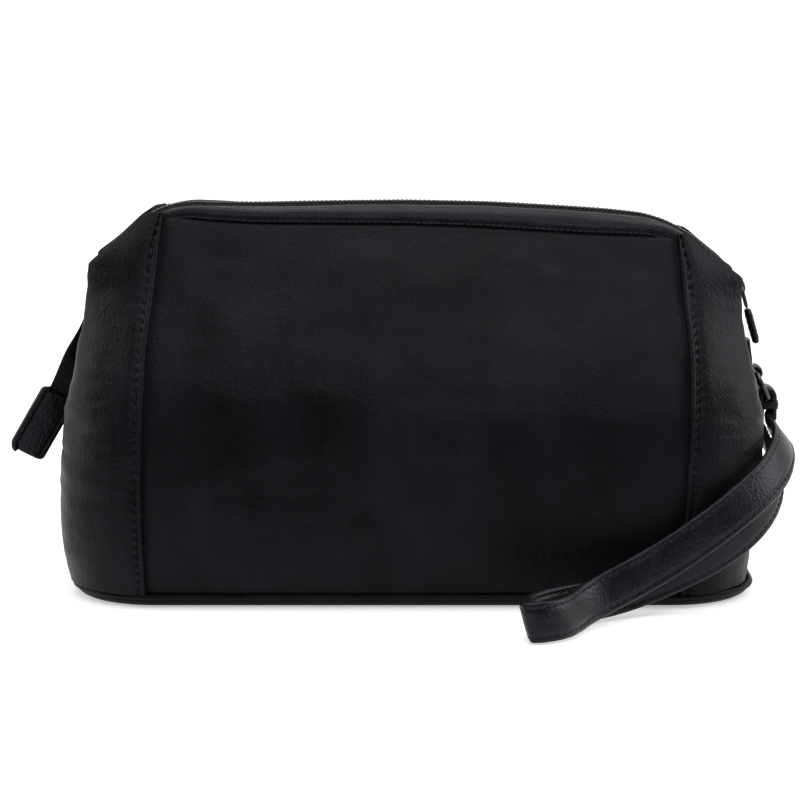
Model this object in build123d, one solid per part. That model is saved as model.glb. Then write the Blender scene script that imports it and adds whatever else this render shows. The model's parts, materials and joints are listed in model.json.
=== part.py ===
from build123d import *
import math
import os

# Framed makeup bag, millimetres. X runs along the zip, the front faces -Y, Z is up.
# The origin is the middle of the underside of the base.

# Driving sizes of the body
HINGE_HEIGHT = 106.0      # the mouth halves turn about a line at this height
LEAN = 1.2                # degrees that the mouth sags towards the right-hand end
BASE_THICKNESS = 3.2
BASE_WIDTH, BASE_DEPTH = 264.0, 117.0
BASE_FLARE = 3.0          # the underside is this much smaller all round
WELT_THICKNESS = 2.0
WELT_PROUD = 0.7          # the welt stands out past the base by this much
WELT_INSET = 4.5
CORNER_RADIUS = 34.0
LEATHER = 1.6
LINING = 0.6
FIT_GAP = 0.1
POCKET_HALF_WIDTH = 62.0
POCKET_FOOT, POCKET_TOP = 12.0, 62.0
POCKET_THICKNESS = 0.8
LINING_NOTCH_FOOT = 96.0  # the side linings are cut down to here so that the mouth can swing
LINING_NOTCH_HALF_WIDTH = 24.0
SEAM_X = 103.5            # the front and back panels end here and the gussets begin
TOP_SEAM_X = 99.5
FOLD_WIDTH = 4.5
FOLD_RISE = 1.1
WALL_BASE = BASE_THICKNESS + WELT_THICKNESS + 0.02

# Outside of the lower wall: height, half width, half depth
WALL_STATIONS = [
    (WALL_BASE, 131.5, 58.5),
    (20.0, 134.0, 62.0),
    (38.0, 135.5, 63.0),
    (56.0, 135.0, 62.5),
    (72.0, 132.6, 60.0),
    (84.0, 130.4, 55.0),
    (95.0, 128.6, 47.5),
    (HINGE_HEIGHT, 127.5, 39.0),
]

# Outside of the upper wall, which turns with the mouth
TOP_GAP = 0.4
TOP_STATIONS = [
    (HINGE_HEIGHT + TOP_GAP, 124.3, 34.5),
    (116.0, 123.5, 31.0),
    (124.0, 121.0, 26.0),
    (132.0, 115.5, 21.0),
    (139.0, 108.5, 16.5),
]
GUSSET_SLOT = 14.0        # half width of the gap that the zip ends hang in

# Zip and frame run along one arch: straight on top, round at both shoulders
ARCH_X = 85.0
ARCH_Z = 109.0
FRAME_INNER, FRAME_OUTER = 31.0, 37.0
FRAME_NEAR, FRAME_FAR = 7.0, 9.0
CASING_INNER, CASING_OUTER = 30.0, 38.8
CASING_NEAR, CASING_FAR = 5.0, 15.0
CASING_END = 6.0
TAPE_INNER, TAPE_OUTER = 38.9, 39.5
TAPE_REACH = 9.0
COIL_OUTER = 41.0
COIL_NEAR, COIL_FAR = 0.4, 2.9
CHAIN_END = 25.0
STUB_TOP_ANGLE = 23.8
STUB_HALF_WIDTH = 4.5
RIGHT_STUB_FOOT = 95.0
COIL_STOP_LENGTH = 3.0
SLIT_LENGTH = 4.0
TAIL_ROOT_X = 129.4       # the left end of the zip reaches out over the gusset's edge to here
TAIL_ROOT_TOP, TAIL_ROOT_FOOT = 107.4, 106.6

# Hinge of the two frames at each end of the mouth
LUG_RADIUS = 4.0
LUG_THICKNESS = 1.2
LUG_CLEARANCE = 0.2
LUG_ARM_RISE = 3.6
FRONT_LUG_X = 117.0
BACK_LUG_X = FRONT_LUG_X + LUG_THICKNESS + LUG_CLEARANCE
RIVET_RADIUS = 1.5
RIVET_PLAY = 0.05
RIVET_HEAD_RADIUS = 2.6
RIVET_HEAD = 0.7

# Slider, puller and pull tab, parked at the right-hand end
SLIDER_ANGLE = 15.0
SLIDER_SPAN = 16.0
SLIDER_HALF_WIDTH = 4.6
SLIDER_BOTTOM = (37.4, 38.7)
SLIDER_TOP = (41.2, 42.2)
SLIDER_POST = (38.0, 41.8)
SLIDER_FLANGE = (39.8, 41.8)
FLANGE_WALL = 1.2
POST_HALF_WIDTH = 0.3
POST_FROM, POST_TO = 6.0, 10.0
BAIL_RADIUS = 43.4
BAIL_WIRE = 0.9
BAIL_END, BAIL_HOLE_END = 2.0, 3.6
PULLER_BEHIND = 2.5       # degrees that the puller hangs below the middle of the slider
PULLER_LEAN = 17.0
PULLER_LENGTH = 9.0
PULLER_WIDTH = 6.0
PULLER_WIRE = 1.3
PULLER_THICKNESS = 1.2
PULLER_EYE = 0.9          # from the end of the puller to the line it turns on
PULL_TAB_START = 0.4
PULL_TAB_LENGTH = 14.0
PULL_TAB_WIDTH = 9.0
PULL_TAB_THICKNESS = 2.2
PULL_TAB_CORNER = 2.0

# Zip tail at the left-hand end
TAIL_WIDTH = 9.0
TAIL_THICKNESS = 1.0
TAIL_ROUTE = [(-129.6, 106.4), (-135.8, 88.5), (-143.4, 67.5)]
TAIL_TAB_LENGTH = 28.0
TAIL_TAB_WIDTH = 15.0
TAIL_TAB_THICKNESS = 3.0
TAIL_TAB_LEAN = 29.0
TAIL_TAB_GRIP = 4.0
TAIL_TAB_CORNER = 0.9
TAIL_TWIST = 75.0

# Wrist strap, its ring and the tab that holds the ring on the right-hand gusset
STRAP_WIDTH = 15.0
STRAP_THICKNESS = 2.8
RING_WIRE = 1.0
RING_TOP = (135.6, 82.5)
RING_FOOT = (140.0, 73.0)
RING_HALF_WIDTH = 11.2
TURN_RADIUS = RING_WIRE + FIT_GAP + STRAP_THICKNESS / 2
RING_CORNER = 3.0
ANCHOR_HALF_WIDTH = 6.0
ANCHOR_THICKNESS = 1.6
ANCHOR_RISE, ANCHOR_LEAN = 13.0, 1.5
KEEPER_WALL = 0.8
KEEPER_TOP, KEEPER_FOOT = 71.4, 68.4
STRAP_LEG_FOOT = 64.0     # both layers hang straight from the ring down to here

# Middle of the strap, from the ring down to its folded tip and back: place, direction across its width
STRAP_ROUTE = [
    ((RING_FOOT[0] + TURN_RADIUS, 0, STRAP_LEG_FOOT), (0, 1, 0)),
    ((143.0, -3.5, 61.2), (0.10, 0.96, -0.20)),
    ((144.4, -15, 59.4), (0.30, 0.86, -0.38)),
    ((143.5, -32, 57.2), (0.52, 0.60, -0.58)),
    ((138.5, -48, 51.5), (0.68, 0.35, -0.65)),
    ((127.5, -62, 43.5), (0.68, 0.15, -0.70)),
    ((109.0, -73, 31.5), (0.58, 0.05, -0.81)),
    ((87.0, -80, 18.8), (0.45, -0.05, -0.89)),
    ((63.5, -96, 9.6), (0.22, -0.08, -0.97)),
    ((47.6, -115.8, 7.9), (0.05, 0, -0.99)),
    ((42.2, -116.4, 7.8), (0, 0, -1)),
    ((41.6, -111.0, 7.8), (0, 0, -1)),
    ((57.0, -90, 8.2), (0.10, -0.05, -0.99)),
    ((79.0, -73, 9.2), (0.36, -0.05, -0.93)),
    ((99.0, -68, 16.0), (0.52, 0.0, -0.85)),
    ((116.5, -65, 24.5), (0.60, 0.25, -0.76)),
    ((129.0, -57.5, 33.0), (0.68, 0.45, -0.58)),
    ((137.5, -44, 42.5), (0.60, 0.62, -0.50)),
    ((140.9, -27, 51.2), (0.33, 0.80, -0.48)),
    ((139.4, -7.0, 56.8), (0.08, 0.92, -0.36)),
    ((RING_FOOT[0] - TURN_RADIUS, 0, STRAP_LEG_FOOT), (0, 1, 0)),
]
STEPS_PER_STRETCH = 3
SPLINE_PULL = 0.5         # how firmly the strap's ends follow the ring's legs
FAR_AWAY = 200.0          # cutting blocks reach past the whole bag


def save(solid, name):
    """Write one sub-part to its own file."""
    export_step(solid, f"parts/{name}.step")


def lean(solid):
    """Tilt a mouth piece to the sag of the mouth."""
    return solid.rotate(Axis.Y, LEAN)


def section(station, inset):
    """Rounded outline of the bag at one height, tilted by its share of the sag."""
    height, half_width, half_depth = station
    share = min(1.0, (height - WALL_BASE) / (HINGE_HEIGHT - WALL_BASE))
    angle = math.radians(LEAN * share * share * (3 - 2 * share))
    up = Vector(math.sin(angle), 0, math.cos(angle))
    across = Vector(math.cos(angle), 0, -math.sin(angle))
    radius = min(CORNER_RADIUS, half_depth - 6.0)
    plane = Plane(origin=up * height, x_dir=across, z_dir=up)
    return plane * RectangleRounded(2 * (half_width - inset), 2 * (half_depth - inset), radius - inset)


def block(x_from, x_to, y_from, y_to, z_from, z_to):
    """Plain cutting block between two corners."""
    size = (x_to - x_from, y_to - y_from, z_to - z_from)
    middle = ((x_from + x_to) / 2, (y_from + y_to) / 2, (z_from + z_to) / 2)
    return Pos(*middle) * Box(*size)


def shell(stations, outer_inset, inner_inset):
    """Open sleeve between two insets of the lofted body."""
    outside = loft([section(station, outer_inset) for station in stations])
    inside = loft([section(station, inner_inset) for station in stations])
    return outside - inside


def regions(seam_x, slot):
    """Blocks that split a sleeve into front, back and gusset stretches."""
    front = block(-seam_x, seam_x, -FAR_AWAY, -slot, -1, FAR_AWAY)
    back = block(-seam_x, seam_x, slot, FAR_AWAY, -1, FAR_AWAY)
    left = block(-FAR_AWAY, -seam_x, -FAR_AWAY, FAR_AWAY, -1, FAR_AWAY)
    right = block(seam_x, FAR_AWAY, -FAR_AWAY, FAR_AWAY, -1, FAR_AWAY)
    return {"front": front, "back": back, "left": left, "right": right}


def base_outline(inset):
    """Rounded outline of the base, smaller by an inset all round."""
    return RectangleRounded(BASE_WIDTH - 2 * inset, BASE_DEPTH - 2 * inset, CORNER_RADIUS - inset)


def make_base():
    """Stiffened base panel, the welt round it, the board inside it and its lining."""
    rim = Pos(0, 0, BASE_THICKNESS) * base_outline(0)
    save(loft([base_outline(BASE_FLARE), rim]), "base_panel")
    welt = extrude(base_outline(-WELT_PROUD) - base_outline(WELT_INSET), WELT_THICKNESS)
    save(Pos(0, 0, BASE_THICKNESS) * welt, "base_welt")
    board = extrude(base_outline(WELT_INSET + FIT_GAP), WELT_THICKNESS)
    save(Pos(0, 0, BASE_THICKNESS) * board, "base_board")
    lining = extrude(base_outline(WELT_INSET - FIT_GAP), LINING)
    save(Pos(0, 0, WALL_BASE) * lining, "base_lining")


def make_lower_wall():
    """Leather walls below the hinge line, with their lapped seams, lining and pocket."""
    leather = shell(WALL_STATIONS, 0, LEATHER)
    lining = shell(WALL_STATIONS, LEATHER + FIT_GAP, LEATHER + FIT_GAP + LINING)
    lining -= block(-FAR_AWAY, FAR_AWAY, -LINING_NOTCH_HALF_WIDTH, LINING_NOTCH_HALF_WIDTH,
                    LINING_NOTCH_FOOT, FAR_AWAY)
    panel_names = {"front": "front_panel", "back": "back_panel", "left": "left_gusset", "right": "right_gusset"}
    for side, region in regions(SEAM_X, 0).items():
        save(leather & region, panel_names[side])
        save(lining & region, f"{side}_lining")
    folds = shell(WALL_STATIONS, -FOLD_RISE, 0)
    for face, depth in (("front", (-FAR_AWAY, 0)), ("back", (0, FAR_AWAY))):
        for side, sign in (("left", -1), ("right", 1)):
            ends = sorted((sign * SEAM_X, sign * (SEAM_X + FOLD_WIDTH)))
            strip = folds & block(*ends, *depth, -1, FAR_AWAY)
            save(strip, f"{face}_{side}_seam_fold")
    inset = LEATHER + FIT_GAP + LINING + FIT_GAP
    pocket = shell(WALL_STATIONS, inset, inset + POCKET_THICKNESS)
    pocket &= block(-POCKET_HALF_WIDTH, POCKET_HALF_WIDTH, 0, FAR_AWAY, POCKET_FOOT, POCKET_TOP)
    save(pocket, "slip_pocket")


def make_upper_wall(face):
    """Upper leather, seam folds and lining that turn with one half of the mouth."""
    sign = -1 if face == "front" else 1
    near, far = sorted((sign * GUSSET_SLOT, sign * FAR_AWAY))
    room_depth = CASING_FAR + 2 * FIT_GAP
    arch_room = plate(arch(CASING_INNER - 2 * FIT_GAP, COIL_OUTER + 1, 0), -room_depth, room_depth)
    leather = shell(TOP_STATIONS, 0, LEATHER) - lean(arch_room)
    lining_outer = LEATHER + FIT_GAP
    lining = shell(TOP_STATIONS, lining_outer, lining_outer + LINING) - lean(arch_room)
    folds = shell(TOP_STATIONS, -FOLD_RISE, 0) - lean(arch_room)
    middle = block(-TOP_SEAM_X, TOP_SEAM_X, near, far, 0, FAR_AWAY)
    save(leather & middle, f"{face}_top_panel")
    whole = block(-FAR_AWAY, FAR_AWAY, near, far, 0, FAR_AWAY)
    save(lining & whole, f"{face}_top_lining")
    for side, turn in (("left", -1), ("right", 1)):
        gusset_ends = sorted((turn * TOP_SEAM_X, turn * FAR_AWAY))
        fold_ends = sorted((turn * TOP_SEAM_X, turn * (TOP_SEAM_X + FOLD_WIDTH)))
        save(leather & block(*gusset_ends, near, far, 0, FAR_AWAY), f"{face}_{side}_gusset_top")
        save(folds & block(*fold_ends, near, far, 0, FAR_AWAY), f"{face}_{side}_top_fold")


def arch(inner, outer, end_angle):
    """Outline of a band over the mouth, drawn in the plane of X and Z."""
    turn = 90 - end_angle
    right = (ARCH_X, ARCH_Z)
    left = (-ARCH_X, ARCH_Z)
    outer_right = CenterArc(right, outer, end_angle, turn)
    outer_left = CenterArc(left, outer, 90, turn)
    inner_left = CenterArc(left, inner, 180 - end_angle, -turn)
    inner_right = CenterArc(right, inner, 90, -turn)
    edges = [
        outer_right,
        Line(outer_right @ 1, outer_left @ 0),
        outer_left,
        Line(outer_left @ 1, inner_left @ 0),
        inner_left,
        Line(inner_left @ 1, inner_right @ 0),
        inner_right,
        Line(inner_right @ 1, outer_right @ 0),
    ]
    return make_face(edges)


def sector(inner, outer, from_angle, to_angle):
    """Part of a ring about the right-hand shoulder, drawn in the plane of X and Z."""
    centre = (ARCH_X, ARCH_Z)
    outside = CenterArc(centre, outer, from_angle, to_angle - from_angle)
    inside = CenterArc(centre, inner, to_angle, from_angle - to_angle)
    edges = [outside, Line(outside @ 1, inside @ 0), inside, Line(inside @ 1, outside @ 0)]
    return make_face(edges)


def plate(face, y_from, y_to):
    """Give a face in the plane of X and Z its thickness along Y."""
    plane = Plane(origin=(0, (y_from + y_to) / 2, 0), x_dir=(1, 0, 0), z_dir=(0, -1, 0))
    return extrude(plane * face, (y_to - y_from) / 2, both=True)


def lug(face, side, hole_radius):
    """Flat ear that joins one frame bar to the hinge line."""
    sign = -1 if face == "front" else 1
    start = FRONT_LUG_X if face == "front" else BACK_LUG_X
    arm_end = Vector(sign * (FRAME_NEAR + FRAME_FAR) / 2, LUG_ARM_RISE)
    arm_turn = math.degrees(math.atan2(arm_end.Y, arm_end.X))
    arm = Pos(arm_end.X / 2, arm_end.Y / 2) * Rot(Z=arm_turn) * SlotCenterToCenter(arm_end.length, LUG_RADIUS)
    ear = extrude(arm, LUG_THICKNESS) + extrude(Circle(LUG_RADIUS), LUG_THICKNESS)
    ear -= extrude(Circle(hole_radius), LUG_THICKNESS)
    start_x = start if side == "right" else -start - LUG_THICKNESS
    return Plane(origin=(start_x, 0, HINGE_HEIGHT), x_dir=(0, 1, 0), z_dir=(1, 0, 0)) * ear


def rivet(side):
    """Rivet that the two frames turn on, headed at both ends."""
    start = FRONT_LUG_X - RIVET_PLAY
    end = BACK_LUG_X + LUG_THICKNESS
    shank = Cylinder(RIVET_RADIUS, end - start, align=(Align.CENTER, Align.CENTER, Align.MIN))
    head = Cylinder(RIVET_HEAD_RADIUS, RIVET_HEAD, align=(Align.CENTER, Align.CENTER, Align.MIN))
    solid = shank + Pos(0, 0, -RIVET_HEAD) * head + Pos(0, 0, end - start) * head
    turned = Plane(origin=(start, 0, HINGE_HEIGHT), x_dir=(0, 1, 0), z_dir=(1, 0, 0)) * solid
    return turned if side == "right" else mirror(turned, about=Plane.YZ)


def make_mouth_half(face):
    """Frame bar, its leather casing and one side of the zip."""
    sign = -1 if face == "front" else 1
    bar = plate(arch(FRAME_INNER, FRAME_OUTER, 0), *sorted((sign * FRAME_NEAR, sign * FRAME_FAR)))
    hole_radius = RIVET_RADIUS + RIVET_PLAY if face == "front" else RIVET_RADIUS
    frame = bar + lug(face, "left", hole_radius) + lug(face, "right", hole_radius)
    save(lean(frame), f"{face}_frame")
    room = plate(arch(FRAME_INNER - FIT_GAP, FRAME_OUTER + FIT_GAP, 0),
                 *sorted((sign * (FRAME_NEAR - FIT_GAP), sign * (FRAME_FAR + FIT_GAP))))
    casing = plate(arch(CASING_INNER, CASING_OUTER, CASING_END),
                   *sorted((sign * CASING_NEAR, sign * CASING_FAR)))
    save(lean(casing - room), f"{face}_casing")
    tape = plate(arch(TAPE_INNER, TAPE_OUTER, CHAIN_END), *sorted((sign * COIL_NEAR, sign * TAPE_REACH)))
    save(lean(tape), f"{face}_zip_tape")
    coil = plate(arch(TAPE_OUTER, COIL_OUTER, CHAIN_END), *sorted((sign * COIL_NEAR, sign * COIL_FAR)))
    save(lean(coil), f"{face}_zip_coil")


def make_zip_ends():
    """Fixed ends of the zip: the right one hangs inside the gusset, the left one crosses its edge."""
    right_tape = plate(sector(TAPE_INNER, TAPE_OUTER, 0, STUB_TOP_ANGLE), -STUB_HALF_WIDTH, STUB_HALF_WIDTH)
    inner_x = ARCH_X + TAPE_INNER
    outer_x = ARCH_X + TAPE_OUTER
    drop = block(inner_x, outer_x, -STUB_HALF_WIDTH, STUB_HALF_WIDTH, RIGHT_STUB_FOOT, ARCH_Z)
    slit = block(ARCH_X, outer_x + 1, -COIL_NEAR, COIL_NEAR, ARCH_Z - SLIT_LENGTH, FAR_AWAY)
    right_tape = right_tape - slit
    save(lean(right_tape + (drop - slit)), "right_zip_end_tape")
    coil_face = sector(TAPE_OUTER, COIL_OUTER, 0, STUB_TOP_ANGLE)
    coil = plate(coil_face, -COIL_FAR, -COIL_NEAR) + plate(coil_face, COIL_NEAR, COIL_FAR)
    stop = block(outer_x, ARCH_X + COIL_OUTER, -COIL_FAR, COIL_FAR, ARCH_Z - COIL_STOP_LENGTH, ARCH_Z)
    save(lean(coil + stop), "right_zip_end_coil")
    bridge = Polygon((-inner_x, ARCH_Z), (-outer_x, ARCH_Z), (-TAIL_ROOT_X, TAIL_ROOT_TOP),
                     (-TAIL_ROOT_X, TAIL_ROOT_FOOT), (-inner_x, ARCH_Z - TAIL_ROOT_TOP + TAIL_ROOT_FOOT),
                     align=None)
    left_tape = mirror(right_tape, about=Plane.YZ) + plate(bridge, -STUB_HALF_WIDTH, STUB_HALF_WIDTH)
    save(lean(left_tape), "left_zip_end_tape")
    save(lean(mirror(coil, about=Plane.YZ)), "left_zip_end_coil")


def make_slider():
    """Zip slider: two plates joined by a post, side flanges and a bail for the puller."""
    start = SLIDER_ANGLE - SLIDER_SPAN / 2
    end = SLIDER_ANGLE + SLIDER_SPAN / 2
    half = SLIDER_HALF_WIDTH
    bottom = plate(sector(*SLIDER_BOTTOM, start, end), -half, half)
    top = plate(sector(*SLIDER_TOP, start, end), -half, half)
    post = plate(sector(*SLIDER_POST, start + POST_FROM, start + POST_TO), -POST_HALF_WIDTH, POST_HALF_WIDTH)
    flange = sector(*SLIDER_FLANGE, start, end)
    flanges = plate(flange, -half, -half + FLANGE_WALL) + plate(flange, half - FLANGE_WALL, half)
    roof = SLIDER_TOP[1]
    bail_outline = sector(roof - 2 * FIT_GAP, BAIL_RADIUS + 2 * BAIL_WIRE, start + BAIL_END, end - BAIL_END)
    bail_hole = sector(roof - FIT_GAP, BAIL_RADIUS + BAIL_WIRE, start + BAIL_HOLE_END, end - BAIL_HOLE_END)
    bail = plate(bail_outline - bail_hole, -BAIL_WIRE, BAIL_WIRE)
    save(lean(bottom + top + post + flanges + bail), "zip_slider")


def puller_frame():
    """Place and direction of the puller: it hangs from the bail and rests away from the gusset."""
    angle = math.radians(SLIDER_ANGLE - PULLER_BEHIND)
    x = ARCH_X + BAIL_RADIUS * math.cos(angle)
    z = ARCH_Z + BAIL_RADIUS * math.sin(angle)
    hang = math.radians(PULLER_LEAN)
    down = Vector(math.sin(hang), 0, -math.cos(hang))
    return Plane(origin=(x, 0, z), x_dir=(0, 1, 0), z_dir=down.cross(Vector(0, 1, 0)))


def make_puller():
    """Metal puller ring through the bail, and the folded leather tab in its eye."""
    plane = puller_frame()
    reach = -1 if plane.y_dir.Z > 0 else 1
    outline = RectangleRounded(PULLER_WIDTH, PULLER_LENGTH, PULLER_WIDTH / 3)
    hole_width = PULLER_WIDTH - 2 * PULLER_WIRE
    hole = RectangleRounded(hole_width, PULLER_LENGTH - 2 * PULLER_WIRE, 0.4 * hole_width)
    middle = reach * (PULLER_LENGTH / 2 - PULLER_EYE)
    ring = extrude(plane * Pos(0, middle) * (outline - hole), PULLER_THICKNESS / 2, both=True)
    save(lean(ring), "zip_puller")
    tab_start = reach * (PULLER_LENGTH - PULLER_EYE + PULL_TAB_START)
    tab = RectangleRounded(PULL_TAB_WIDTH, PULL_TAB_LENGTH, PULL_TAB_CORNER)
    tab_body = extrude(plane * Pos(0, tab_start + reach * PULL_TAB_LENGTH / 2) * tab,
                       PULL_TAB_THICKNESS / 2, both=True)
    save(lean(tab_body), "zip_pull_tab")


def tail_section(place, along, turn, width, thickness):
    """Rectangle across the loose zip tail, turned about the direction it runs in."""
    width_way = Vector(0, 1, 0).rotate(Axis((0, 0, 0), along), turn)
    plane = Plane(origin=place, x_dir=width_way, z_dir=along)
    return plane * Rectangle(width, thickness)


def make_zip_tail():
    """Loose tape past the left-hand end of the zip, twisted to face forward, and the leather tab sewn on it."""
    places = [Vector(x, 0, z) for x, z in TAIL_ROUTE]
    upper_way = (places[1] - places[0]).normalized()
    lower_way = (places[2] - places[1]).normalized()
    knee_way = (upper_way + lower_way).normalized()
    upper = loft([
        tail_section(places[0], upper_way, 0, TAIL_WIDTH, TAIL_THICKNESS),
        tail_section(places[1], knee_way, TAIL_TWIST / 3, TAIL_WIDTH, TAIL_THICKNESS),
    ], ruled=True)
    lower = loft([
        tail_section(places[1], knee_way, TAIL_TWIST / 3, TAIL_WIDTH, TAIL_THICKNESS),
        tail_section(places[2], lower_way, TAIL_TWIST, TAIL_WIDTH, TAIL_THICKNESS),
    ], ruled=True)
    hang = math.radians(TAIL_TAB_LEAN)
    down = Vector(-math.sin(hang), 0, -math.cos(hang))
    start = places[2] - down * TAIL_TAB_GRIP
    width_way = Vector(0, 1, 0).rotate(Axis((0, 0, 0), down), TAIL_TWIST)
    plane = Plane(origin=start, x_dir=width_way, z_dir=down)
    outline = RectangleRounded(TAIL_TAB_WIDTH, TAIL_TAB_THICKNESS, TAIL_TAB_CORNER)
    tab = extrude(plane * outline, TAIL_TAB_LENGTH)
    save(lean(tab), "zip_tail_tab")
    save(lean(upper + lower - tab), "zip_tail_tape")


def strap_sections():
    """Rectangles across the strap, spread along a smooth curve through its route."""
    places = [Vector(*place) for place, _ in STRAP_ROUTE]
    line = Spline(places, tangents=[(0, 0, -1), (0, 0, 1)],
                  tangent_scalars=[SPLINE_PULL, SPLINE_PULL])
    sections = []
    for (start, first), (end, second) in zip(STRAP_ROUTE, STRAP_ROUTE[1:]):
        from_share = line.param_at_point(Vector(*start))
        to_share = line.param_at_point(Vector(*end))
        for step in range(STEPS_PER_STRETCH):
            sections.append(strap_section(line, from_share, to_share, first, second, step / STEPS_PER_STRETCH))
    sections.append(strap_section(line, from_share, to_share, first, second, 1))
    return sections


def strap_section(line, from_share, to_share, first, second, inside):
    """One rectangle square to the strap, turned between the widths at both ends of its stretch."""
    share = from_share + (to_share - from_share) * inside
    tangent = (line % share).normalized()
    width = Vector(*first) * (1 - inside) + Vector(*second) * inside
    width = (width - tangent * width.dot(tangent)).normalized()
    plane = Plane(origin=line @ share, x_dir=width, z_dir=tangent)
    return plane * Rectangle(STRAP_WIDTH, STRAP_THICKNESS)


def make_strap():
    """Wrist strap, its end turned round the ring, and the keeper that holds both layers together."""
    save(loft(strap_sections(), ruled=True), "wrist_strap")
    outer_radius = TURN_RADIUS + STRAP_THICKNESS / 2
    turn_face = Circle(outer_radius) - Circle(TURN_RADIUS - STRAP_THICKNESS / 2)
    upper_half = Pos(0, outer_radius) * Rectangle(2 * outer_radius, 2 * outer_radius)
    leg_length = RING_FOOT[1] - STRAP_LEG_FOOT
    leg = Rectangle(STRAP_THICKNESS, leg_length)
    legs = [Pos(side * TURN_RADIUS, -leg_length / 2) * leg for side in (-1, 1)]
    turn_outline = (turn_face & upper_half) + legs
    turn = plate(Pos(*RING_FOOT) * turn_outline, -STRAP_WIDTH / 2, STRAP_WIDTH / 2)
    save(turn, "strap_turn")
    reach = outer_radius + FIT_GAP + KEEPER_WALL
    half = STRAP_WIDTH / 2 + FIT_GAP + KEEPER_WALL
    x = RING_FOOT[0]
    sleeve = block(x - reach, x + reach, -half, half, KEEPER_FOOT, KEEPER_TOP)
    inside = block(x - reach + KEEPER_WALL, x + reach - KEEPER_WALL, -half + KEEPER_WALL, half - KEEPER_WALL,
                   KEEPER_FOOT - 1, KEEPER_TOP + 1)
    save(sleeve - inside, "strap_keeper")


def make_ring():
    """Wire ring that the strap hangs from."""
    top = Vector(RING_TOP[0], 0, RING_TOP[1])
    foot = Vector(RING_FOOT[0], 0, RING_FOOT[1])
    rise = (top - foot).normalized()
    middle = (top + foot) * 0.5
    plane = Plane(origin=middle, x_dir=(0, 1, 0), z_dir=Vector(0, 1, 0).cross(rise))
    loop = plane * RectangleRounded(2 * RING_HALF_WIDTH, (top - foot).length, RING_CORNER)
    path = loop.wire()
    wire = sweep(Plane(origin=path @ 0, z_dir=path % 0) * Circle(RING_WIRE), path=path)
    save(wire, "strap_ring")


def make_anchor_tab():
    """Leather tab on the right-hand gusset, folded round the top of the ring."""
    inner = RING_WIRE + FIT_GAP
    outer = inner + ANCHOR_THICKNESS
    x, z = RING_TOP
    fold = Pos(x, z) * (Circle(outer) - Circle(inner))
    strip = Polygon((x - outer, z), (x - inner, z), (x - inner - ANCHOR_LEAN, z + ANCHOR_RISE),
                    (x - outer - ANCHOR_LEAN, z + ANCHOR_RISE), align=None)
    save(plate(fold + strip, -ANCHOR_HALF_WIDTH, ANCHOR_HALF_WIDTH), "strap_anchor_tab")


def main():
    os.makedirs("parts", exist_ok=True)
    make_base()
    make_lower_wall()
    make_zip_ends()
    make_slider()
    make_puller()
    make_zip_tail()
    make_ring()
    make_anchor_tab()
    make_strap()
    for face in ("front", "back"):
        make_upper_wall(face)
        make_mouth_half(face)
    for side in ("left", "right"):
        save(lean(rivet(side)), f"{side}_hinge_rivet")


main()
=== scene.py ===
import json
import math

import bmesh
import bpy
import numpy as np
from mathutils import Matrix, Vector, noise


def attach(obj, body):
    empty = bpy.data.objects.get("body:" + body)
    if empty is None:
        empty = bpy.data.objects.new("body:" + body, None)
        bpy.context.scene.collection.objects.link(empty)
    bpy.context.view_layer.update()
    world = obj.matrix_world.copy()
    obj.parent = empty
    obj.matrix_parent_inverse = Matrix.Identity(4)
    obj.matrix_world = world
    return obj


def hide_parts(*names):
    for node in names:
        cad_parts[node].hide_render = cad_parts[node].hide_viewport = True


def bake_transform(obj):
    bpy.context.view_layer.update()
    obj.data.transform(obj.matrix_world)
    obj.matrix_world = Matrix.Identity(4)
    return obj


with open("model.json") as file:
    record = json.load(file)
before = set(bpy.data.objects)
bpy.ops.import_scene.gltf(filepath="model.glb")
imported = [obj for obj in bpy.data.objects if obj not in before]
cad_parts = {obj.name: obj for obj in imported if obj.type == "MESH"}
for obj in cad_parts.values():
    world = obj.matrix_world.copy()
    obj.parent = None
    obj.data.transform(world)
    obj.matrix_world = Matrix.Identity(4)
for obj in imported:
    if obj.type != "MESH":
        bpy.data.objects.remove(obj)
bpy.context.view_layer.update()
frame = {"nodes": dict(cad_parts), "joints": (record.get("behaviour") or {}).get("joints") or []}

MM = 0.001

# ---------------------------------------------------------------- sizes (millimetres, before the mouth's sag)
WALL_FOOT = 5.2            # leather walls start above the welt
HINGE_HEIGHT = 106.0
ARCH_X, ARCH_Z = 85.0, 109.0   # centre of the zip's shoulder arcs, either side
CHAIN_RADIUS = 39.6        # the zip's teeth stand on this radius
CASING_EDGE = 39.3         # the gusset tops meet the casing on this radius
LEATHER = 1.4
STITCH_PITCH = 3.5
TOP_STITCH_PITCH = 2.4
TOOTH_PITCH = 1.75
TOOTH_SIZE = (2.9, 1.15, 1.25)
TOOTH_SIDE, TOOTH_RISE = 1.55, 0.75
PANEL_TOP = 141.0
PANEL_CROWN = 2.6

mouth_axis = next(j for j in frame["joints"] if j["name"] == "front_mouth_open")["axis"]
LEAN = math.atan2(-mouth_axis[2], mouth_axis[0])
SAG = np.array([[math.cos(LEAN), 0, math.sin(LEAN)], [0, 1, 0], [-math.sin(LEAN), 0, math.cos(LEAN)]])
# Rise along X of the seam under the casing, which runs straighter than the zip
BAND_LIFT = [(-127, 0), (-118, 1.4), (-109, 4.2), (-99, 4.8), (-80, 4.0), (-60, 3.0), (-20, 2.1), (20, 1.5),
             (58, 1.0), (80, 1.9), (95, 3.4), (104, 4.0), (113, 2.0), (122, 0)]
# Rise and fall of the mouth's top line along X
TOP_LINE = [(-125, 0.3), (-110, -0.2), (-97, -0.8), (-82, -1.5), (-66, -1.3), (-45, -0.5), (-22, 0.3),
            (0, 0.8), (22, 0.8), (45, 0.2), (69, -0.8), (82, -1.8), (94, -3.2), (106, -4.2), (116, -3.4), (128, -1.6)]

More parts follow.
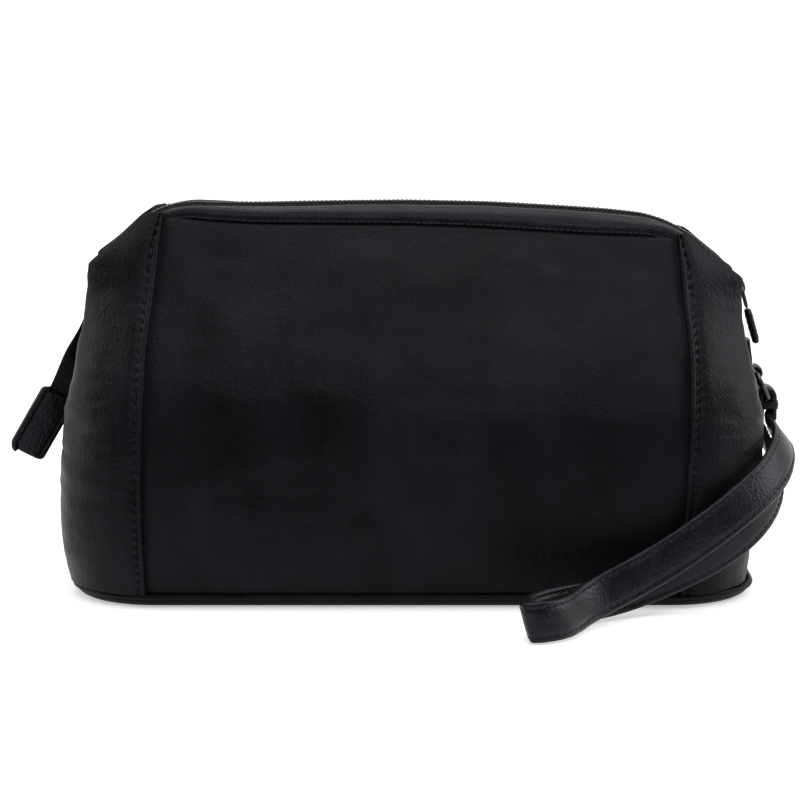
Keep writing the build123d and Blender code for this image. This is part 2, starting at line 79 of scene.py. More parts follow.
DEPTH = [(5, 58.3), (20, 61.6), (38, 62.5), (56, 61.6), (72, 58.6), (84, 54.2), (95, 48.2), (106, 41.2),
         (116, 34.6), (124, 28.9), (132, 23.0), (139, 17.9), (141.5, 16.2)]
SEAM_X = [(5, 101.8), (48, 103.0), (92, 103.4), (120, 101.4), (141.5, 99.6)]
RIDGE_X = {
    "left": [(5, 133.4), (12, 135.2), (22, 136.6), (36, 137.2), (50, 136.8), (65, 135.6), (80, 133.8), (91, 132.2),
             (101, 130.6), (110, 129.4), (118, 128.6), (124.5, 128.6), (126.3, 127.2), (128.5, 124.0), (132, 119.3),
             (136, 114.2), (141.5, 107.5)],
    "right": [(5, 129.6), (12, 130.4), (22, 131.2), (36, 133.2), (50, 135.0), (65, 135.2), (80, 133.0), (91, 130.4),
              (101, 127.8), (110, 125.8), (118, 125.2), (125.5, 125.6), (127.3, 124.4), (129.5, 122.0), (132, 119.3),
              (136, 114.2), (141.5, 107.5)],
}
RIDGE_Y = [(5, 28.5), (60, 30.0), (90, 27.0), (110, 23.0), (124, 19.5), (130, 17.5), (136, 15.0), (141.5, 14.2)]
CENTRE_X = {
    "left": [(5, 131.6), (20, 134.6), (40, 135.6), (60, 134.6), (75, 132.6), (88, 130.6), (98, 128.4), (104, 126.4),
             (109, 124.3)],
    "right": [(5, 129.4), (20, 130.4), (40, 132.0), (60, 132.8), (75, 132.2), (88, 130.4), (98, 127.8), (104, 126.2),
              (109, 124.3)],
}


def smooth(value):
    value = np.clip(value, 0, 1)
    return value * value * (3 - 2 * value)


def cubic(start, end, leave, arrive, t):
    """Point on a cubic between two ends with the slopes there."""
    return ((2 * t**3 - 3 * t**2 + 1) * start + (t**3 - 2 * t**2 + t) * leave
            + (3 * t**2 - 2 * t**3) * end + (t**3 - t**2) * arrive)


def through(table, at):
    """Smooth curve without overshoot through a short list of points."""
    xs = np.array([p[0] for p in table], float)
    ys = np.array([p[1] for p in table], float)
    at = np.clip(np.asarray(at, float), xs[0], xs[-1])
    step = np.diff(xs)
    slope = np.diff(ys) / step
    tangent = np.zeros_like(ys)
    same_way = slope[:-1] * slope[1:] > 0
    total = np.where(same_way, slope[:-1] + slope[1:], 1)
    tangent[1:-1] = np.where(same_way, 2 * slope[:-1] * slope[1:] / total, 0)
    tangent[0], tangent[-1] = slope[0], slope[-1]
    i = np.clip(np.searchsorted(xs, at) - 1, 0, len(step) - 1)
    t = (at - xs[i]) / step[i]
    return cubic(ys[i], ys[i + 1], step[i] * tangent[i], step[i] * tangent[i + 1], t)


def place(points):
    """Take points from the upright layout in millimetres to the sagging bag in metres."""
    points = np.asarray(points, float)
    x, y, z = points[..., 0], points[..., 1], points[..., 2]
    below_band = smooth((z - 112) / 26) * smooth((np.abs(y) - 12.6) / 3.6)
    z = z + smooth((z - 98) / 38) * through(TOP_LINE, x) + below_band * through(BAND_LIFT, x)
    angle = LEAN * smooth((z - WALL_FOOT) / (HINGE_HEIGHT - WALL_FOOT))
    out = np.empty_like(points)
    out[..., 0] = x * np.cos(angle) + z * np.sin(angle)
    out[..., 1] = y
    out[..., 2] = -x * np.sin(angle) + z * np.cos(angle)
    return out * MM


# ---------------------------------------------------------------- mesh helpers
def new_object(name, vertices, faces, material):
    """Mesh object in smooth shading with its faces turned outward."""
    mesh = bpy.data.meshes.new(name)
    mesh.from_pydata([tuple(v) for v in vertices], [], faces)
    mesh.validate()
    work = bmesh.new()
    work.from_mesh(mesh)
    bmesh.ops.recalc_face_normals(work, faces=work.faces)
    work.to_mesh(mesh)
    work.free()
    mesh.polygons.foreach_set("use_smooth", [True] * len(mesh.polygons))
    mesh.materials.append(material)
    obj = bpy.data.objects.new(name, mesh)
    bpy.context.scene.collection.objects.link(obj)
    return obj


def grid_normals(points):
    """Unit normals of a grid of points."""
    along = np.gradient(points, axis=0)
    across = np.gradient(points, axis=1)
    normal = np.cross(along, across)
    length = np.linalg.norm(normal, axis=-1, keepdims=True)
    return normal / np.maximum(length, 1e-9)


def outward(points, normals):
    """Turn normals so that they leave the middle of the bag."""
    away = points * np.array([1.0, 1.0, 0.0])
    away = away / np.maximum(np.linalg.norm(away, axis=-1, keepdims=True), 1e-9)
    flip = np.sign(np.mean(np.sum(away * normals, axis=-1)))
    return normals * flip


def grid_faces(rows, cols, start=0, wrap=False):
    faces = []
    last = cols if wrap else cols - 1
    for r in range(rows - 1):
        for c in range(last):
            d = (c + 1) % cols
            faces.append((start + r * cols + c, start + r * cols + d, start + (r + 1) * cols + d,
                          start + (r + 1) * cols + c))
    return faces


def loop_faces(rows, cols):
    """Faces of a tube whose last ring joins its first."""
    last = (rows - 1) * cols
    return grid_faces(rows, cols, wrap=True) + [(last + c, last + (c + 1) % cols, (c + 1) % cols, c)
                                                for c in range(cols)]


def shell_object(name, outer, inner, material):
    """Closed skin between an outer and an inner grid."""
    rows, cols = outer.shape[:2]
    vertices = np.concatenate([outer.reshape(-1, 3), inner.reshape(-1, 3)])
    faces = grid_faces(rows, cols) + grid_faces(rows, cols, rows * cols)
    rim = list(range(cols))
    rim += [r * cols + cols - 1 for r in range(1, rows)]
    rim += [(rows - 1) * cols + c for c in range(cols - 2, -1, -1)]
    rim += [r * cols for r in range(rows - 2, 0, -1)]
    for first, second in zip(rim, rim[1:] + rim[:1]):
        faces.append((first, second, second + rows * cols, first + rows * cols))
    return new_object(name, vertices, faces, material)


def tube_object(name, rings, material):
    """Closed skin over a list of cross-sections."""
    rings = np.asarray(rings)
    rows, cols = rings.shape[:2]
    faces = grid_faces(rows, cols, wrap=True)
    faces.append(tuple(range(cols)))
    faces.append(tuple((rows - 1) * cols + c for c in range(cols)))
    return new_object(name, rings.reshape(-1, 3), faces, material)


def fasten(piece, body, slot, *nodes):
    """Ride a piece on a body, in place of the CAD nodes it stands for; the slot is not used."""
    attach(piece, body)
    if nodes:
        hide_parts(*nodes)


def bend(piece, face, slot, *nodes):
    """Soft piece baked in place where it stands, in place of the CAD nodes it stands for; face and slot are not used.
    """
    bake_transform(piece)
    if nodes:
        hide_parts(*nodes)


def ripple(points, scale, amount, seed):
    """Uneven height of soft leather at each point, in millimetres."""
    flat = points.reshape(-1, 3) * np.array(scale)
    values = [noise.fractal(Vector(p) + Vector((seed, seed * 2.0, 0)), 1.0, 2.0, 3) for p in flat]
    return amount * np.array(values).reshape(points.shape[:-1] + (1,))


def bead(centre, along, out, length, width, height):
    """Small rounded stitch or tooth: vertices and faces."""
    along = np.asarray(along, float) / np.linalg.norm(along)
    out = np.asarray(out, float)
    out = out - along * np.dot(out, along)
    out = out / max(np.linalg.norm(out), 1e-9)
    side = np.cross(along, out)
    vertices = []
    for end, girth in ((-0.5, 0.35), (-0.32, 0.85), (0.0, 1.0), (0.32, 0.85), (0.5, 0.35)):
        for k in range(6):
            turn = 2 * math.pi * k / 6
            round_about = side * math.cos(turn) * girth * width / 2 + out * math.sin(turn) * girth * height / 2
            vertices.append(np.asarray(centre) + along * end * length + round_about)
    faces = grid_faces(5, 6, wrap=True)
    faces += [tuple(range(6)), tuple(24 + k for k in range(6))]
    return vertices, faces


def beads_object(name, beads, material):
    """One object from many stitches or teeth."""
    vertices, faces = [], []
    for points, quads in beads:
        start = len(vertices)
        vertices += points
        faces += [tuple(start + i for i in quad) for quad in quads]
    return new_object(name, vertices, faces, material)


def row_of_stitches(line, outs, pitch, length=2.5, width=0.62, height=0.5, slant=0.0):
    """Stitches along a line of points in metres."""
    line = np.asarray(line)
    steps = np.linalg.norm(np.diff(line, axis=0), axis=1)
    run = np.concatenate([[0], np.cumsum(steps)])
    count = int(run[-1] / (pitch * MM))
    beads = []
    for k in range(count):
        at = (k + 0.5) * run[-1] / count
        centre = np.array([np.interp(at, run, line[:, i]) for i in range(3)])
        ahead = np.array([np.interp(min(at + 0.5 * MM, run[-1]), run, line[:, i]) for i in range(3)])
        behind = np.array([np.interp(max(at - 0.5 * MM, 0), run, line[:, i]) for i in range(3)])
        out = np.array([np.interp(at, run, np.asarray(outs)[:, i]) for i in range(3)])
        way = ahead - behind
        way = way / np.linalg.norm(way)
        way = way + slant * np.cross(way, out)
        beads.append(bead(centre, way, out, length * MM, width * MM, height * MM))
    return beads


# ---------------------------------------------------------------- materials
def node(tree, kind, **values):
    made = tree.nodes.new(kind)
    for key, value in values.items():
        if key in made.inputs:
            made.inputs[key].default_value = value
        else:
            setattr(made, key, value)
    return made


def add_bumps(tree, place_node, layers, shader):
    """Stack bump layers of noise, cells or weave onto a shader's normal."""
    previous = None
    for kind, scale, stretch, strength, depth in layers:
        mapping = tree.nodes.new("ShaderNodeMapping")
        mapping.inputs["Scale"].default_value = stretch
        tree.links.new(place_node.outputs["Object"], mapping.inputs["Vector"])
        if kind == "cells":
            texture = node(tree, "ShaderNodeTexVoronoi", Scale=scale)
            texture.feature = "SMOOTH_F1"
        elif kind == "weave":
            texture = node(tree, "ShaderNodeTexWave", Scale=scale, Distortion=0.4)
        else:
            texture = node(tree, "ShaderNodeTexNoise", Scale=scale, Detail=4.0, Roughness=0.6, Distortion=0.3)
        tree.links.new(mapping.outputs["Vector"], texture.inputs["Vector"])
        bump = node(tree, "ShaderNodeBump", Strength=strength, Distance=depth)
        tree.links.new(texture.outputs["Distance" if kind == "cells" else "Fac"], bump.inputs["Height"])
        if previous:
            tree.links.new(previous.outputs["Normal"], bump.inputs["Normal"])
        previous = bump
    tree.links.new(previous.outputs["Normal"], shader.inputs["Normal"])


def surface(name, dark, light, rough_low, rough_high, colour_scale, bump_layers, metallic=0.0, specular=0.5,
            sheen=0.0, coat=0.0):
    """Procedural material: mottled colour, uneven gloss and stacked bumps."""
    material = bpy.data.materials.new(name)
    material.use_nodes = True
    tree = material.node_tree
    shader = tree.nodes["Principled BSDF"]
    shader.inputs["Metallic"].default_value = metallic
    shader.inputs["Specular IOR Level"].default_value = specular
    shader.inputs["Sheen Weight"].default_value = sheen
    shader.inputs["Coat Weight"].default_value = coat
    shader.inputs["Coat Roughness"].default_value = 0.35
    shader.inputs["Specular Tint"].default_value = (0.86, 0.88, 1.0, 1.0)
    place_node = tree.nodes.new("ShaderNodeTexCoord")
    mottle = node(tree, "ShaderNodeTexNoise", Scale=colour_scale, Detail=5.0, Roughness=0.62, Distortion=0.5)
    drift = tree.nodes.new("ShaderNodeMapping")
    drift.inputs["Rotation"].default_value = (0, 0.5, 0)
    drift.inputs["Scale"].default_value = (1.5, 1.0, 0.7)
    tree.links.new(place_node.outputs["Object"], drift.inputs["Vector"])
    tree.links.new(drift.outputs["Vector"], mottle.inputs["Vector"])
    ramp = tree.nodes.new("ShaderNodeValToRGB")
    ramp.color_ramp.elements[0].position = 0.35
    ramp.color_ramp.elements[0].color = (*dark, 1)
    ramp.color_ramp.elements[1].position = 0.68
    ramp.color_ramp.elements[1].color = (*light, 1)
    tree.links.new(mottle.outputs["Fac"], ramp.inputs["Fac"])
    tree.links.new(ramp.outputs["Color"], shader.inputs["Base Color"])
    gloss = tree.nodes.new("ShaderNodeMapRange")
    gloss.inputs["To Min"].default_value = rough_low
    gloss.inputs["To Max"].default_value = rough_high
    tree.links.new(mottle.outputs["Fac"], gloss.inputs["Value"])
    tree.links.new(gloss.outputs["Result"], shader.inputs["Roughness"])
    add_bumps(tree, place_node, bump_layers, shader)
    return material


EVEN = (1, 1, 1)
GRAIN = [("noise", 1500, EVEN, 0.2, 0.0003), ("cells", 950, EVEN, 0.5, 0.0003)]
CREASES = [("noise", 34, (2.4, 1, 0.8), 0.3, 0.0015), ("noise", 150, (2.0, 1, 0.7), 0.22, 0.0006),
           ("noise", 420, (2.0, 1, 0.6), 0.28, 0.0004)]
INK, INK_LIGHT = (0.0011, 0.0011, 0.0017), (0.0062, 0.0059, 0.0078)

panel_leather = surface("panel_leather", INK, INK_LIGHT, 0.34, 0.56, 17, CREASES + GRAIN, specular=0.085)
gusset_leather = surface("gusset_leather", INK, INK_LIGHT, 0.34, 0.50, 32,
                         [("noise", 60, (0.8, 0.8, 3.2), 0.22, 0.0011)] + CREASES + GRAIN, specular=0.09)
casing_leather = surface("casing_leather", INK, INK_LIGHT, 0.30, 0.44, 60, CREASES[1:] + GRAIN, specular=0.13)
strap_leather = surface("strap_leather", INK, INK_LIGHT, 0.27, 0.41, 90, CREASES[2:] + GRAIN, specular=0.18)
base_leather = surface("base_leather", INK, INK_LIGHT, 0.42, 0.58, 60, GRAIN, specular=0.08)
thread = surface("thread", (0.003, 0.003, 0.0045), (0.008, 0.008, 0.011), 0.34, 0.5, 900,
                 [("weave", 900, (1, 1, 1), 0.4, 0.0002)], specular=0.24)
tape_cloth = surface("tape_cloth", (0.005, 0.005, 0.006), (0.014, 0.014, 0.017), 0.6, 0.8, 600,
                     [("weave", 650, (1, 0.15, 1), 0.5, 0.0004), ("weave", 500, (0.1, 1, 0.1), 0.4, 0.0003)],
                     specular=0.12)
coil_nylon = surface("coil_nylon", (0.004, 0.004, 0.005), (0.010, 0.010, 0.012), 0.28, 0.42, 500,
                     [("noise", 900, EVEN, 0.15, 0.0002)], specular=0.35)
lining_cloth = surface("lining_cloth", (0.018, 0.018, 0.021), (0.034, 0.034, 0.038), 0.7, 0.9, 300,
                       [("weave", 420, (1, 1, 0.1), 0.5, 0.0004), ("weave", 420, (0.1, 0.1, 1), 0.5, 0.0004),
                        ("noise", 30, EVEN, 0.4, 0.002)], specular=0.3, sheen=0.2)
slider_metal = surface("slider_metal", (0.05, 0.044, 0.04), (0.11, 0.098, 0.088), 0.25, 0.42, 250,
                       [("noise", 500, (1, 1, 4), 0.12, 0.0003)], metallic=1.0)
frame_steel = surface("frame_steel", (0.10, 0.10, 0.105), (0.17, 0.17, 0.175), 0.4, 0.55, 200,
                      [("noise", 400, (0.2, 1, 1), 0.15, 0.0003)], metallic=1.0)
board_card = surface("board_card", (0.12, 0.085, 0.055), (0.2, 0.15, 0.1), 0.7, 0.9, 150,
                     [("noise", 400, EVEN, 0.3, 0.0005)])


# ---------------------------------------------------------------- shape of the bag's skin
def arc_x(height, radius):
    """Distance from the middle to a shoulder arc at a height."""
    return ARCH_X + np.sqrt(np.maximum(radius**2 - (height - ARCH_Z) ** 2, 0))


def gusset_outline(height, side):
    """Half of a gusset at one height, from the seam round the fold to the zip or the middle: x and depth."""
    seam = np.array([through(SEAM_X, height), through(DEPTH, height)], float)
    fold = np.array([through(RIDGE_X[side], height), through(RIDGE_Y, height)], float)
    share = smooth((height - 100) / 12)
    end_x = through(CENTRE_X[side], height) if height < ARCH_Z else arc_x(height, CASING_EDGE)
    end = np.array([end_x, 14.0 * share], float)
    sharp = 1 - 0.72 * smooth((height - 80) / 40)
    quarter = 1.657            # length of the slopes of a cubic that passes for a quarter circle
    drop = -2.0 * smooth((height - 60) / 40) * (seam[1] - fold[1]) * 0.35
    leave = np.array([quarter * (fold[0] - seam[0]), drop])
    arrive = np.array([0, -quarter * (seam[1] - fold[1]) * sharp])
    first = cubic(seam, fold, leave, arrive, np.linspace(0, 1, 60)[:, None])
    gap = np.linalg.norm(end - fold)
    turn_in = np.array([-0.8 * gap * smooth((height - 96) / 14), -gap * (1 - 0.6 * smooth((height - 96) / 14))])
    second = cubic(fold, end, arrive * 0.35 * min(1, gap / 12), turn_in, np.linspace(0, 1, 50)[:, None])
    return np.concatenate([first, second[1:]])


NEAR_SEAM = np.array([0, 0.12, 0.3, 0.6, 1.0, 1.4, 1.8, 2.2, 2.5, 2.8, 3.1, 3.5, 4.0, 4.8, 6.0, 7.6, 9.6,
                      12.5, 16.0])
FOLD_PROFILE = [(0, -0.9), (0.12, 0.2), (0.3, 0.85), (0.6, 1.2), (1.0, 1.35), (1.5, 1.3), (2.0, 1.0), (2.4, 0.55),
                (2.75, 0.25), (3.2, 0.55), (4.0, 0.95), (5.5, 1.15), (8, 1.0), (12, 0.65), (19, 0.2), (28, 0)]
STITCH_LINE = 2.75


def gusset_rows():
    low = np.arange(WALL_FOOT, 100, 0.7)
    high = np.arange(100, PANEL_TOP + 0.3, 0.6)
    return np.concatenate([low, high])


def gusset_base(heights, side):
    """Grid of half a gusset, seen as the right-hand one (x, depth, height), and distance from the seam."""
    points, distances = [], []
    far_columns = 56
    for height in heights:
        outline = gusset_outline(height, side)
        run = np.concatenate([[0], np.cumsum(np.linalg.norm(np.diff(outline, axis=0), axis=1))])
        shrink = min(1, run[-1] / 30)
        near = NEAR_SEAM * shrink
        far = near[-1] + (run[-1] - near[-1]) * np.linspace(0, 1, far_columns + 1)[1:]
        at = np.concatenate([near, far])
        x = np.interp(at, run, outline[:, 0])
        depth = np.interp(at, run, outline[:, 1])
        points.append(np.stack([x, depth, np.full_like(x, height)], axis=-1))
        distances.append(at / max(shrink, 0.35))
    return np.array(points), np.array(distances)


def pucker(heights, pitch=STITCH_PITCH):
    """Leather drawn in at every stitch, from 0 between stitches to 1 at a hole."""
    return np.abs(np.cos(math.pi * heights / pitch)) ** 3


def make_gusset(side, face):
    """One half of a gusset with its turned and stitched edge over the panel."""
    turn = -1 if side == "left" else 1
    way = -1 if face == "front" else 1
    heights = gusset_rows()
    base, distance = gusset_base(heights, side)
    normals = outward(base, grid_normals(base))
    profile = through(FOLD_PROFILE, distance)
    near_line = np.exp(-((distance - STITCH_LINE - 0.5) / 1.1) ** 2)
    on_rim = np.exp(-((distance - 1.2) / 0.9) ** 2)
    pulled = pucker(heights)[:, None]
    profile = profile - 0.5 * near_line * pulled - 0.14 * on_rim * pulled
    away_from_seam = smooth((distance - 7) / 14)
    middle_fade = 1 - smooth((base[..., 2] - 120) / 18)
    seed = 3.1 * turn + 1.7 * way
    waves = ripple(base * np.array([turn, way, 1]), (0.018, 0.03, 0.055), 1.5, seed)[..., 0]
    puckers = ripple(base * np.array([turn, way, 1]), (0.03, 0.04, 0.16), 0.55, seed + 5)[..., 0]
    at_middle = np.exp(-((base[..., 2] - 62) / 26) ** 2)
    relief = profile + away_from_seam * middle_fade * (waves * 0.6 + puckers * at_middle)
    edge_fade = np.minimum(1, (np.arange(base.shape[1])[::-1] / 8.0))[None, :]
    relief = np.where(distance > 12, relief * edge_fade, relief)
    outer = base + normals * relief[..., None]
    inner = base - normals * LEATHER
    flip = np.array([turn, way, 1])
    skin = shell_object(f"{side}_gusset_{face}_skin", place(outer * flip), place(inner * flip), gusset_leather)
    names = [f"{face}_{side}_gusset_top", f"{face}_{side}_seam_fold", f"{face}_{side}_top_fold"]
    if face == "front":
        names.append(f"{side}_gusset")
    bend(skin, face, "gusset_leather", *names)
    column = int(np.argmin(np.abs(NEAR_SEAM - STITCH_LINE)))
    line = (outer[:, column] + normals[:, column] * 0.12) * flip
    rows = slice(3, len(heights) - 3)
    stitches = beads_object(f"{side}_{face}_seam_stitches",
                            row_of_stitches(place(line)[rows], (normals[:, column] * flip)[rows], STITCH_PITCH,
                                            length=2.8, width=0.95, height=0.75, slant=0.22 * turn),
                            thread)
    bend(stitches, face, "gusset_leather")


def make_panel(face):
    """Front or back panel: crowned leather that dips into the seams and under the casing."""
    way = -1 if face == "front" else 1
    heights = np.concatenate([np.arange(WALL_FOOT, 132, 1.0), np.arange(132, PANEL_TOP + 0.8, 0.5)])
    near_right = np.linspace(0.93, 1.022, 16)
    shares = np.concatenate([-near_right[::-1], np.linspace(-0.92, 0.92, 140), near_right])
    seam = through(SEAM_X, heights)[:, None]
    depth = through(DEPTH, heights)[:, None]
    x = seam * shares[None, :]
    upright = np.sin(np.pi * np.clip(heights / 138, 0, 1))[:, None]
    crown = PANEL_CROWN * upright * (1 - np.minimum(1, shares[None, :] ** 2))
    past = np.maximum(0, np.abs(x) - seam)
    y = depth + crown - past * 0.12
    base = np.stack([x, y, np.broadcast_to(heights[:, None], x.shape)], axis=-1)
    normals = outward(base, grid_normals(base))
    from_seam = seam - np.abs(x)
    dip = -1.05 * np.exp(-(np.maximum(from_seam, 0) / 2.4) ** 1.6)
    dip = dip - 0.9 * np.exp(-((PANEL_TOP + 0.3 - base[..., 2]) / 1.6) ** 2)
    fade = smooth(from_seam / 16) * (1 - smooth((base[..., 2] - 126) / 12)) * smooth((base[..., 2] - 5) / 12)
    seed = 11.0 + 4 * way
    waves = ripple(base * np.array([1, way, 1]), (0.014, 0.02, 0.022), 1.6, seed)[..., 0]
    small = ripple(base * np.array([1, way, 1]), (0.05, 0.05, 0.07), 0.28, seed + 7)[..., 0]
    outer = base + normals * (dip + fade * (waves + small))[..., None]
    inner = base - normals * LEATHER
    flip = np.array([1, way, 1])
    skin = shell_object(f"{face}_panel_skin", place(outer * flip), place(inner * flip), panel_leather)
    bend(skin, face, "panel_leather", f"{face}_panel", f"{face}_top_panel")


def make_lining(face):
    """Cloth lining of one half, following the leather from the inside."""
    way = -1 if face == "front" else 1
    heights = np.concatenate([np.arange(WALL_FOOT + 0.8, 100, 2.0), np.arange(100, 136, 1.5)])
    rows = []
    for height in heights:
        outline = gusset_outline(height, "right")[::3]
        middle_x = np.linspace(1, -1, 40)[1:-1] * outline[0, 0]
        middle = np.stack([middle_x, np.full_like(middle_x, outline[0, 1])], axis=-1)
        other = gusset_outline(height, "left")[::3] * np.array([-1, 1])
        row = np.concatenate([outline[::-1], middle, other])
        rows.append(np.column_stack([row, np.full(len(row), height)]))
    base = np.array(rows)
    normals = outward(base, grid_normals(base))
    waves = ripple(base * np.array([1, way, 1]), (0.03, 0.03, 0.02), 0.8, 40 + way)
    loose = 3.2 * np.exp(-((base[..., 2:] - 103) / 11) ** 2) * smooth((104 - np.abs(base[..., :1])) / 14)
    outer = base - normals * (LEATHER + 0.7 + np.abs(waves) + loose)
    inner = outer - normals * 0.5
    flip = np.array([1, way, 1])
    skin = shell_object(f"{face}_lining_skin", place(outer * flip), place(inner * flip), lining_cloth)
    names = [f"{face}_lining", f"{face}_top_lining"]
    if face == "front":
        names += ["left_lining", "right_lining"]
    bend(skin, face, "lining_cloth", *names)


for face_name in ("front", "back"):
    make_panel(face_name)
    make_lining(face_name)
    for side_name in ("left", "right"):
        make_gusset(side_name, face_name)


# ---------------------------------------------------------------- casing, zip tape and coil along the arch
def arch_line(end_right, end_left, step):
    """Angles and straight run of the arch from the right-hand end to the left: point, outward direction."""
    right = np.radians(np.arange(end_right, 90, step / CHAIN_RADIUS * 180 / math.pi))
    straight = np.arange(ARCH_X, -ARCH_X, -step)
    left = np.radians(np.arange(90, 180 - end_left, step / CHAIN_RADIUS * 180 / math.pi))
    centres = np.concatenate([np.stack([np.full_like(right, ARCH_X), np.full_like(right, ARCH_Z)], -1),
                              np.stack([straight, np.full_like(straight, ARCH_Z)], -1),
                              np.stack([np.full_like(left, -ARCH_X), np.full_like(left, ARCH_Z)], -1)])
    up = np.full_like(straight, math.pi / 2)
    angles = np.concatenate([right, up, left])
    outs = np.stack([np.cos(angles), np.sin(angles)], -1)
    return centres, outs


def on_arch(centres, outs, radius, y):
    """Points at one radius and one y along the arch."""
    xz = centres + outs * radius
    return np.stack([xz[:, 0], np.full(len(xz), y), xz[:, 1]], -1)


CASING_PROFILE = [(38.7, 6.4), (39.3, 7.3), (39.75, 8.6), (39.9, 10.2), (39.5, 11.9), (38.4, 13.6), (36.8, 15.0),
                  (35.0, 16.1), (33.4, 16.8), (32.2, 17.1), (31.4, 16.9), (30.8, 16.2), (30.4, 15.0), (30.2, 12.0),
                  (30.3, 8.0), (31.5, 6.0), (35.0, 5.6), (37.5, 5.8)]
CASING_STITCH_RADIUS, CASING_STITCH_DEPTH = 31.75, 17.15


def make_casing(face):
    way = -1 if face == "front" else 1
    centres, outs = arch_line(4, 4, 0.8)
    run = np.arange(len(centres)) * 0.8
    rings = []
    for radius, depth in CASING_PROFILE:
        pinch = 0.22 * pucker(run, TOP_STITCH_PITCH) if 30.8 < radius < 33 and depth > 16 else 0 * run
        points = on_arch(centres, outs, radius, way * depth)
        points[:, 1] -= way * pinch
        rings.append(points)
    base = np.stack(rings, axis=1)
    wobble = ripple(base, (0.05, 0.3, 0.05), 0.22, 60 + way)
    normals = grid_normals(base)
    base = base + normals * wobble
    casing = tube_object(f"{face}_casing_skin", place(base), casing_leather)
    fasten(casing, f"{face}_mouth", "casing_leather", f"{face}_casing")
    upper = (outs[:, 1] > 0.86)
    line = on_arch(centres, outs, CASING_STITCH_RADIUS, way * CASING_STITCH_DEPTH)[upper]
    out = np.tile([0.0, way, 0.0], (len(line), 1))
    stitches = beads_object(f"{face}_top_stitches",
                            row_of_stitches(place(line), out, TOP_STITCH_PITCH, length=1.7, width=0.8, height=0.7),
                            thread)
    fasten(stitches, f"{face}_mouth", "casing_leather")


def tape_profile(way):
    """Cross-section of the tape: radius and y from the coil to its outer edge and back."""
    top = [(39.45, 0.4), (39.5, 2.0), (39.55, 3.4), (39.75, 4.6), (39.95, 5.6), (40.05, 6.6), (40.15, 7.6),
           (40.1, 8.6)]
    return [(r, way * y) for r, y in top] + [(r - 0.45, way * y) for r, y in reversed(top)]


def make_tape(name, body, way, end_right, end_left, replaced):
    centres, outs = arch_line(end_right, end_left, 1.2)
    base = np.stack([on_arch(centres, outs, r, y) for r, y in tape_profile(way)], axis=1)
    tape = tube_object(name, place(base), tape_cloth)
    fasten(tape, body, "zip_tape_cloth", replaced)
    line = on_arch(centres, outs, 40.1, way * 5.7)
    out = np.column_stack([outs[:, 0], np.zeros(len(outs)), outs[:, 1]])
    stitches = beads_object(name + "_stitches",
                            row_of_stitches(place(line), out, 2.2, length=1.6, width=0.45, height=0.35), thread)
    fasten(stitches, body, "zip_tape_cloth")


def teeth_along(centres, outs, ways, phase):
    """Coil turns: slanted rounded teeth, each row set half a pitch from the other."""
    beads = []
    for k in range(len(centres)):
        radial = np.array([outs[k, 0], 0, outs[k, 1]])
        forward = np.array([outs[k, 1], 0, -outs[k, 0]])
        for way in ways:
            shift = phase if way > 0 else -phase
            onward = shift * np.array([outs[k, 1], -outs[k, 0]])
            centre_xz = centres[k] + outs[k] * (CHAIN_RADIUS + TOOTH_RISE) + onward
            centre = np.array([centre_xz[0], way * TOOTH_SIDE, centre_xz[1]])
            along = np.array([0, way, 0]) + 0.42 * forward
            beads.append(bead(centre, along, radial, *TOOTH_SIZE))
    return beads


def placed(beads, turn=1):
    """Beads of the upright layout on the sagging bag, mirrored to the left where turn is -1."""
    return [(list(place(np.array(points) * [turn, 1, 1])), quads) for points, quads in beads]


def make_coil(name, body, ways, end_right, end_left, replaced):
    centres, outs = arch_line(end_right, end_left, TOOTH_PITCH)
    coil = beads_object(name, placed(teeth_along(centres, outs, ways, TOOTH_PITCH / 4)), coil_nylon)
    fasten(coil, body, "zip_coil_nylon", replaced)


FRAME_SECTION = [(31.0, 7.3), (31.3, 7.0), (36.7, 7.0), (37.0, 7.3), (37.0, 8.7), (36.7, 9.0), (31.3, 9.0),
                 (31.0, 8.7)]
EAR_X = {"front": (117.0, 118.2), "back": (118.4, 119.6)}
EAR_RADIUS, EAR_ARM_RADIUS = 3.9, 2.0
EAR_ARM_END = (8.0, 3.6)


def make_frame(face):
    """Flat steel bar inside the casing, with a round ear at each end for the hinge rivet."""
    way = -1 if face == "front" else 1
    centres, outs = arch_line(0, 0, 1.5)
    base = np.stack([on_arch(centres, outs, r, way * y) for r, y in FRAME_SECTION], axis=1)
    bar = tube_object(f"{face}_frame_bar", place(base), frame_steel)
    fasten(bar, f"{face}_mouth", "frame_steel", f"{face}_frame")
    lean = math.atan2(EAR_ARM_END[1], EAR_ARM_END[0])
    tip = [(EAR_ARM_END[0] + EAR_ARM_RADIUS * math.cos(a), EAR_ARM_END[1] + EAR_ARM_RADIUS * math.sin(a))
           for a in np.linspace(lean - math.pi / 2, lean + math.pi / 2, 8)]
    root = [(EAR_RADIUS * math.cos(a), EAR_RADIUS * math.sin(a))
            for a in np.linspace(lean + math.pi / 2, lean + 3 * math.pi / 2, 18)]
    for side, turn in (("left", -1), ("right", 1)):
        rings = np.array([[(turn * x, way * y, HINGE_HEIGHT + z) for y, z in tip + root] for x in EAR_X[face]])
        ear = tube_object(f"{face}_{side}_frame_ear", place(rings), frame_steel)
        fasten(ear, f"{face}_mouth", "frame_steel")


for face_name, face_way in (("front", -1), ("back", 1)):
    make_frame(face_name)
    make_casing(face_name)
    make_tape(f"{face_name}_tape_skin", f"{face_name}_mouth", face_way, 25, 25, f"{face_name}_zip_tape")
    make_coil(f"{face_name}_coil_teeth", f"{face_name}_mouth", [face_way], 25, 25, f"{face_name}_zip_coil")


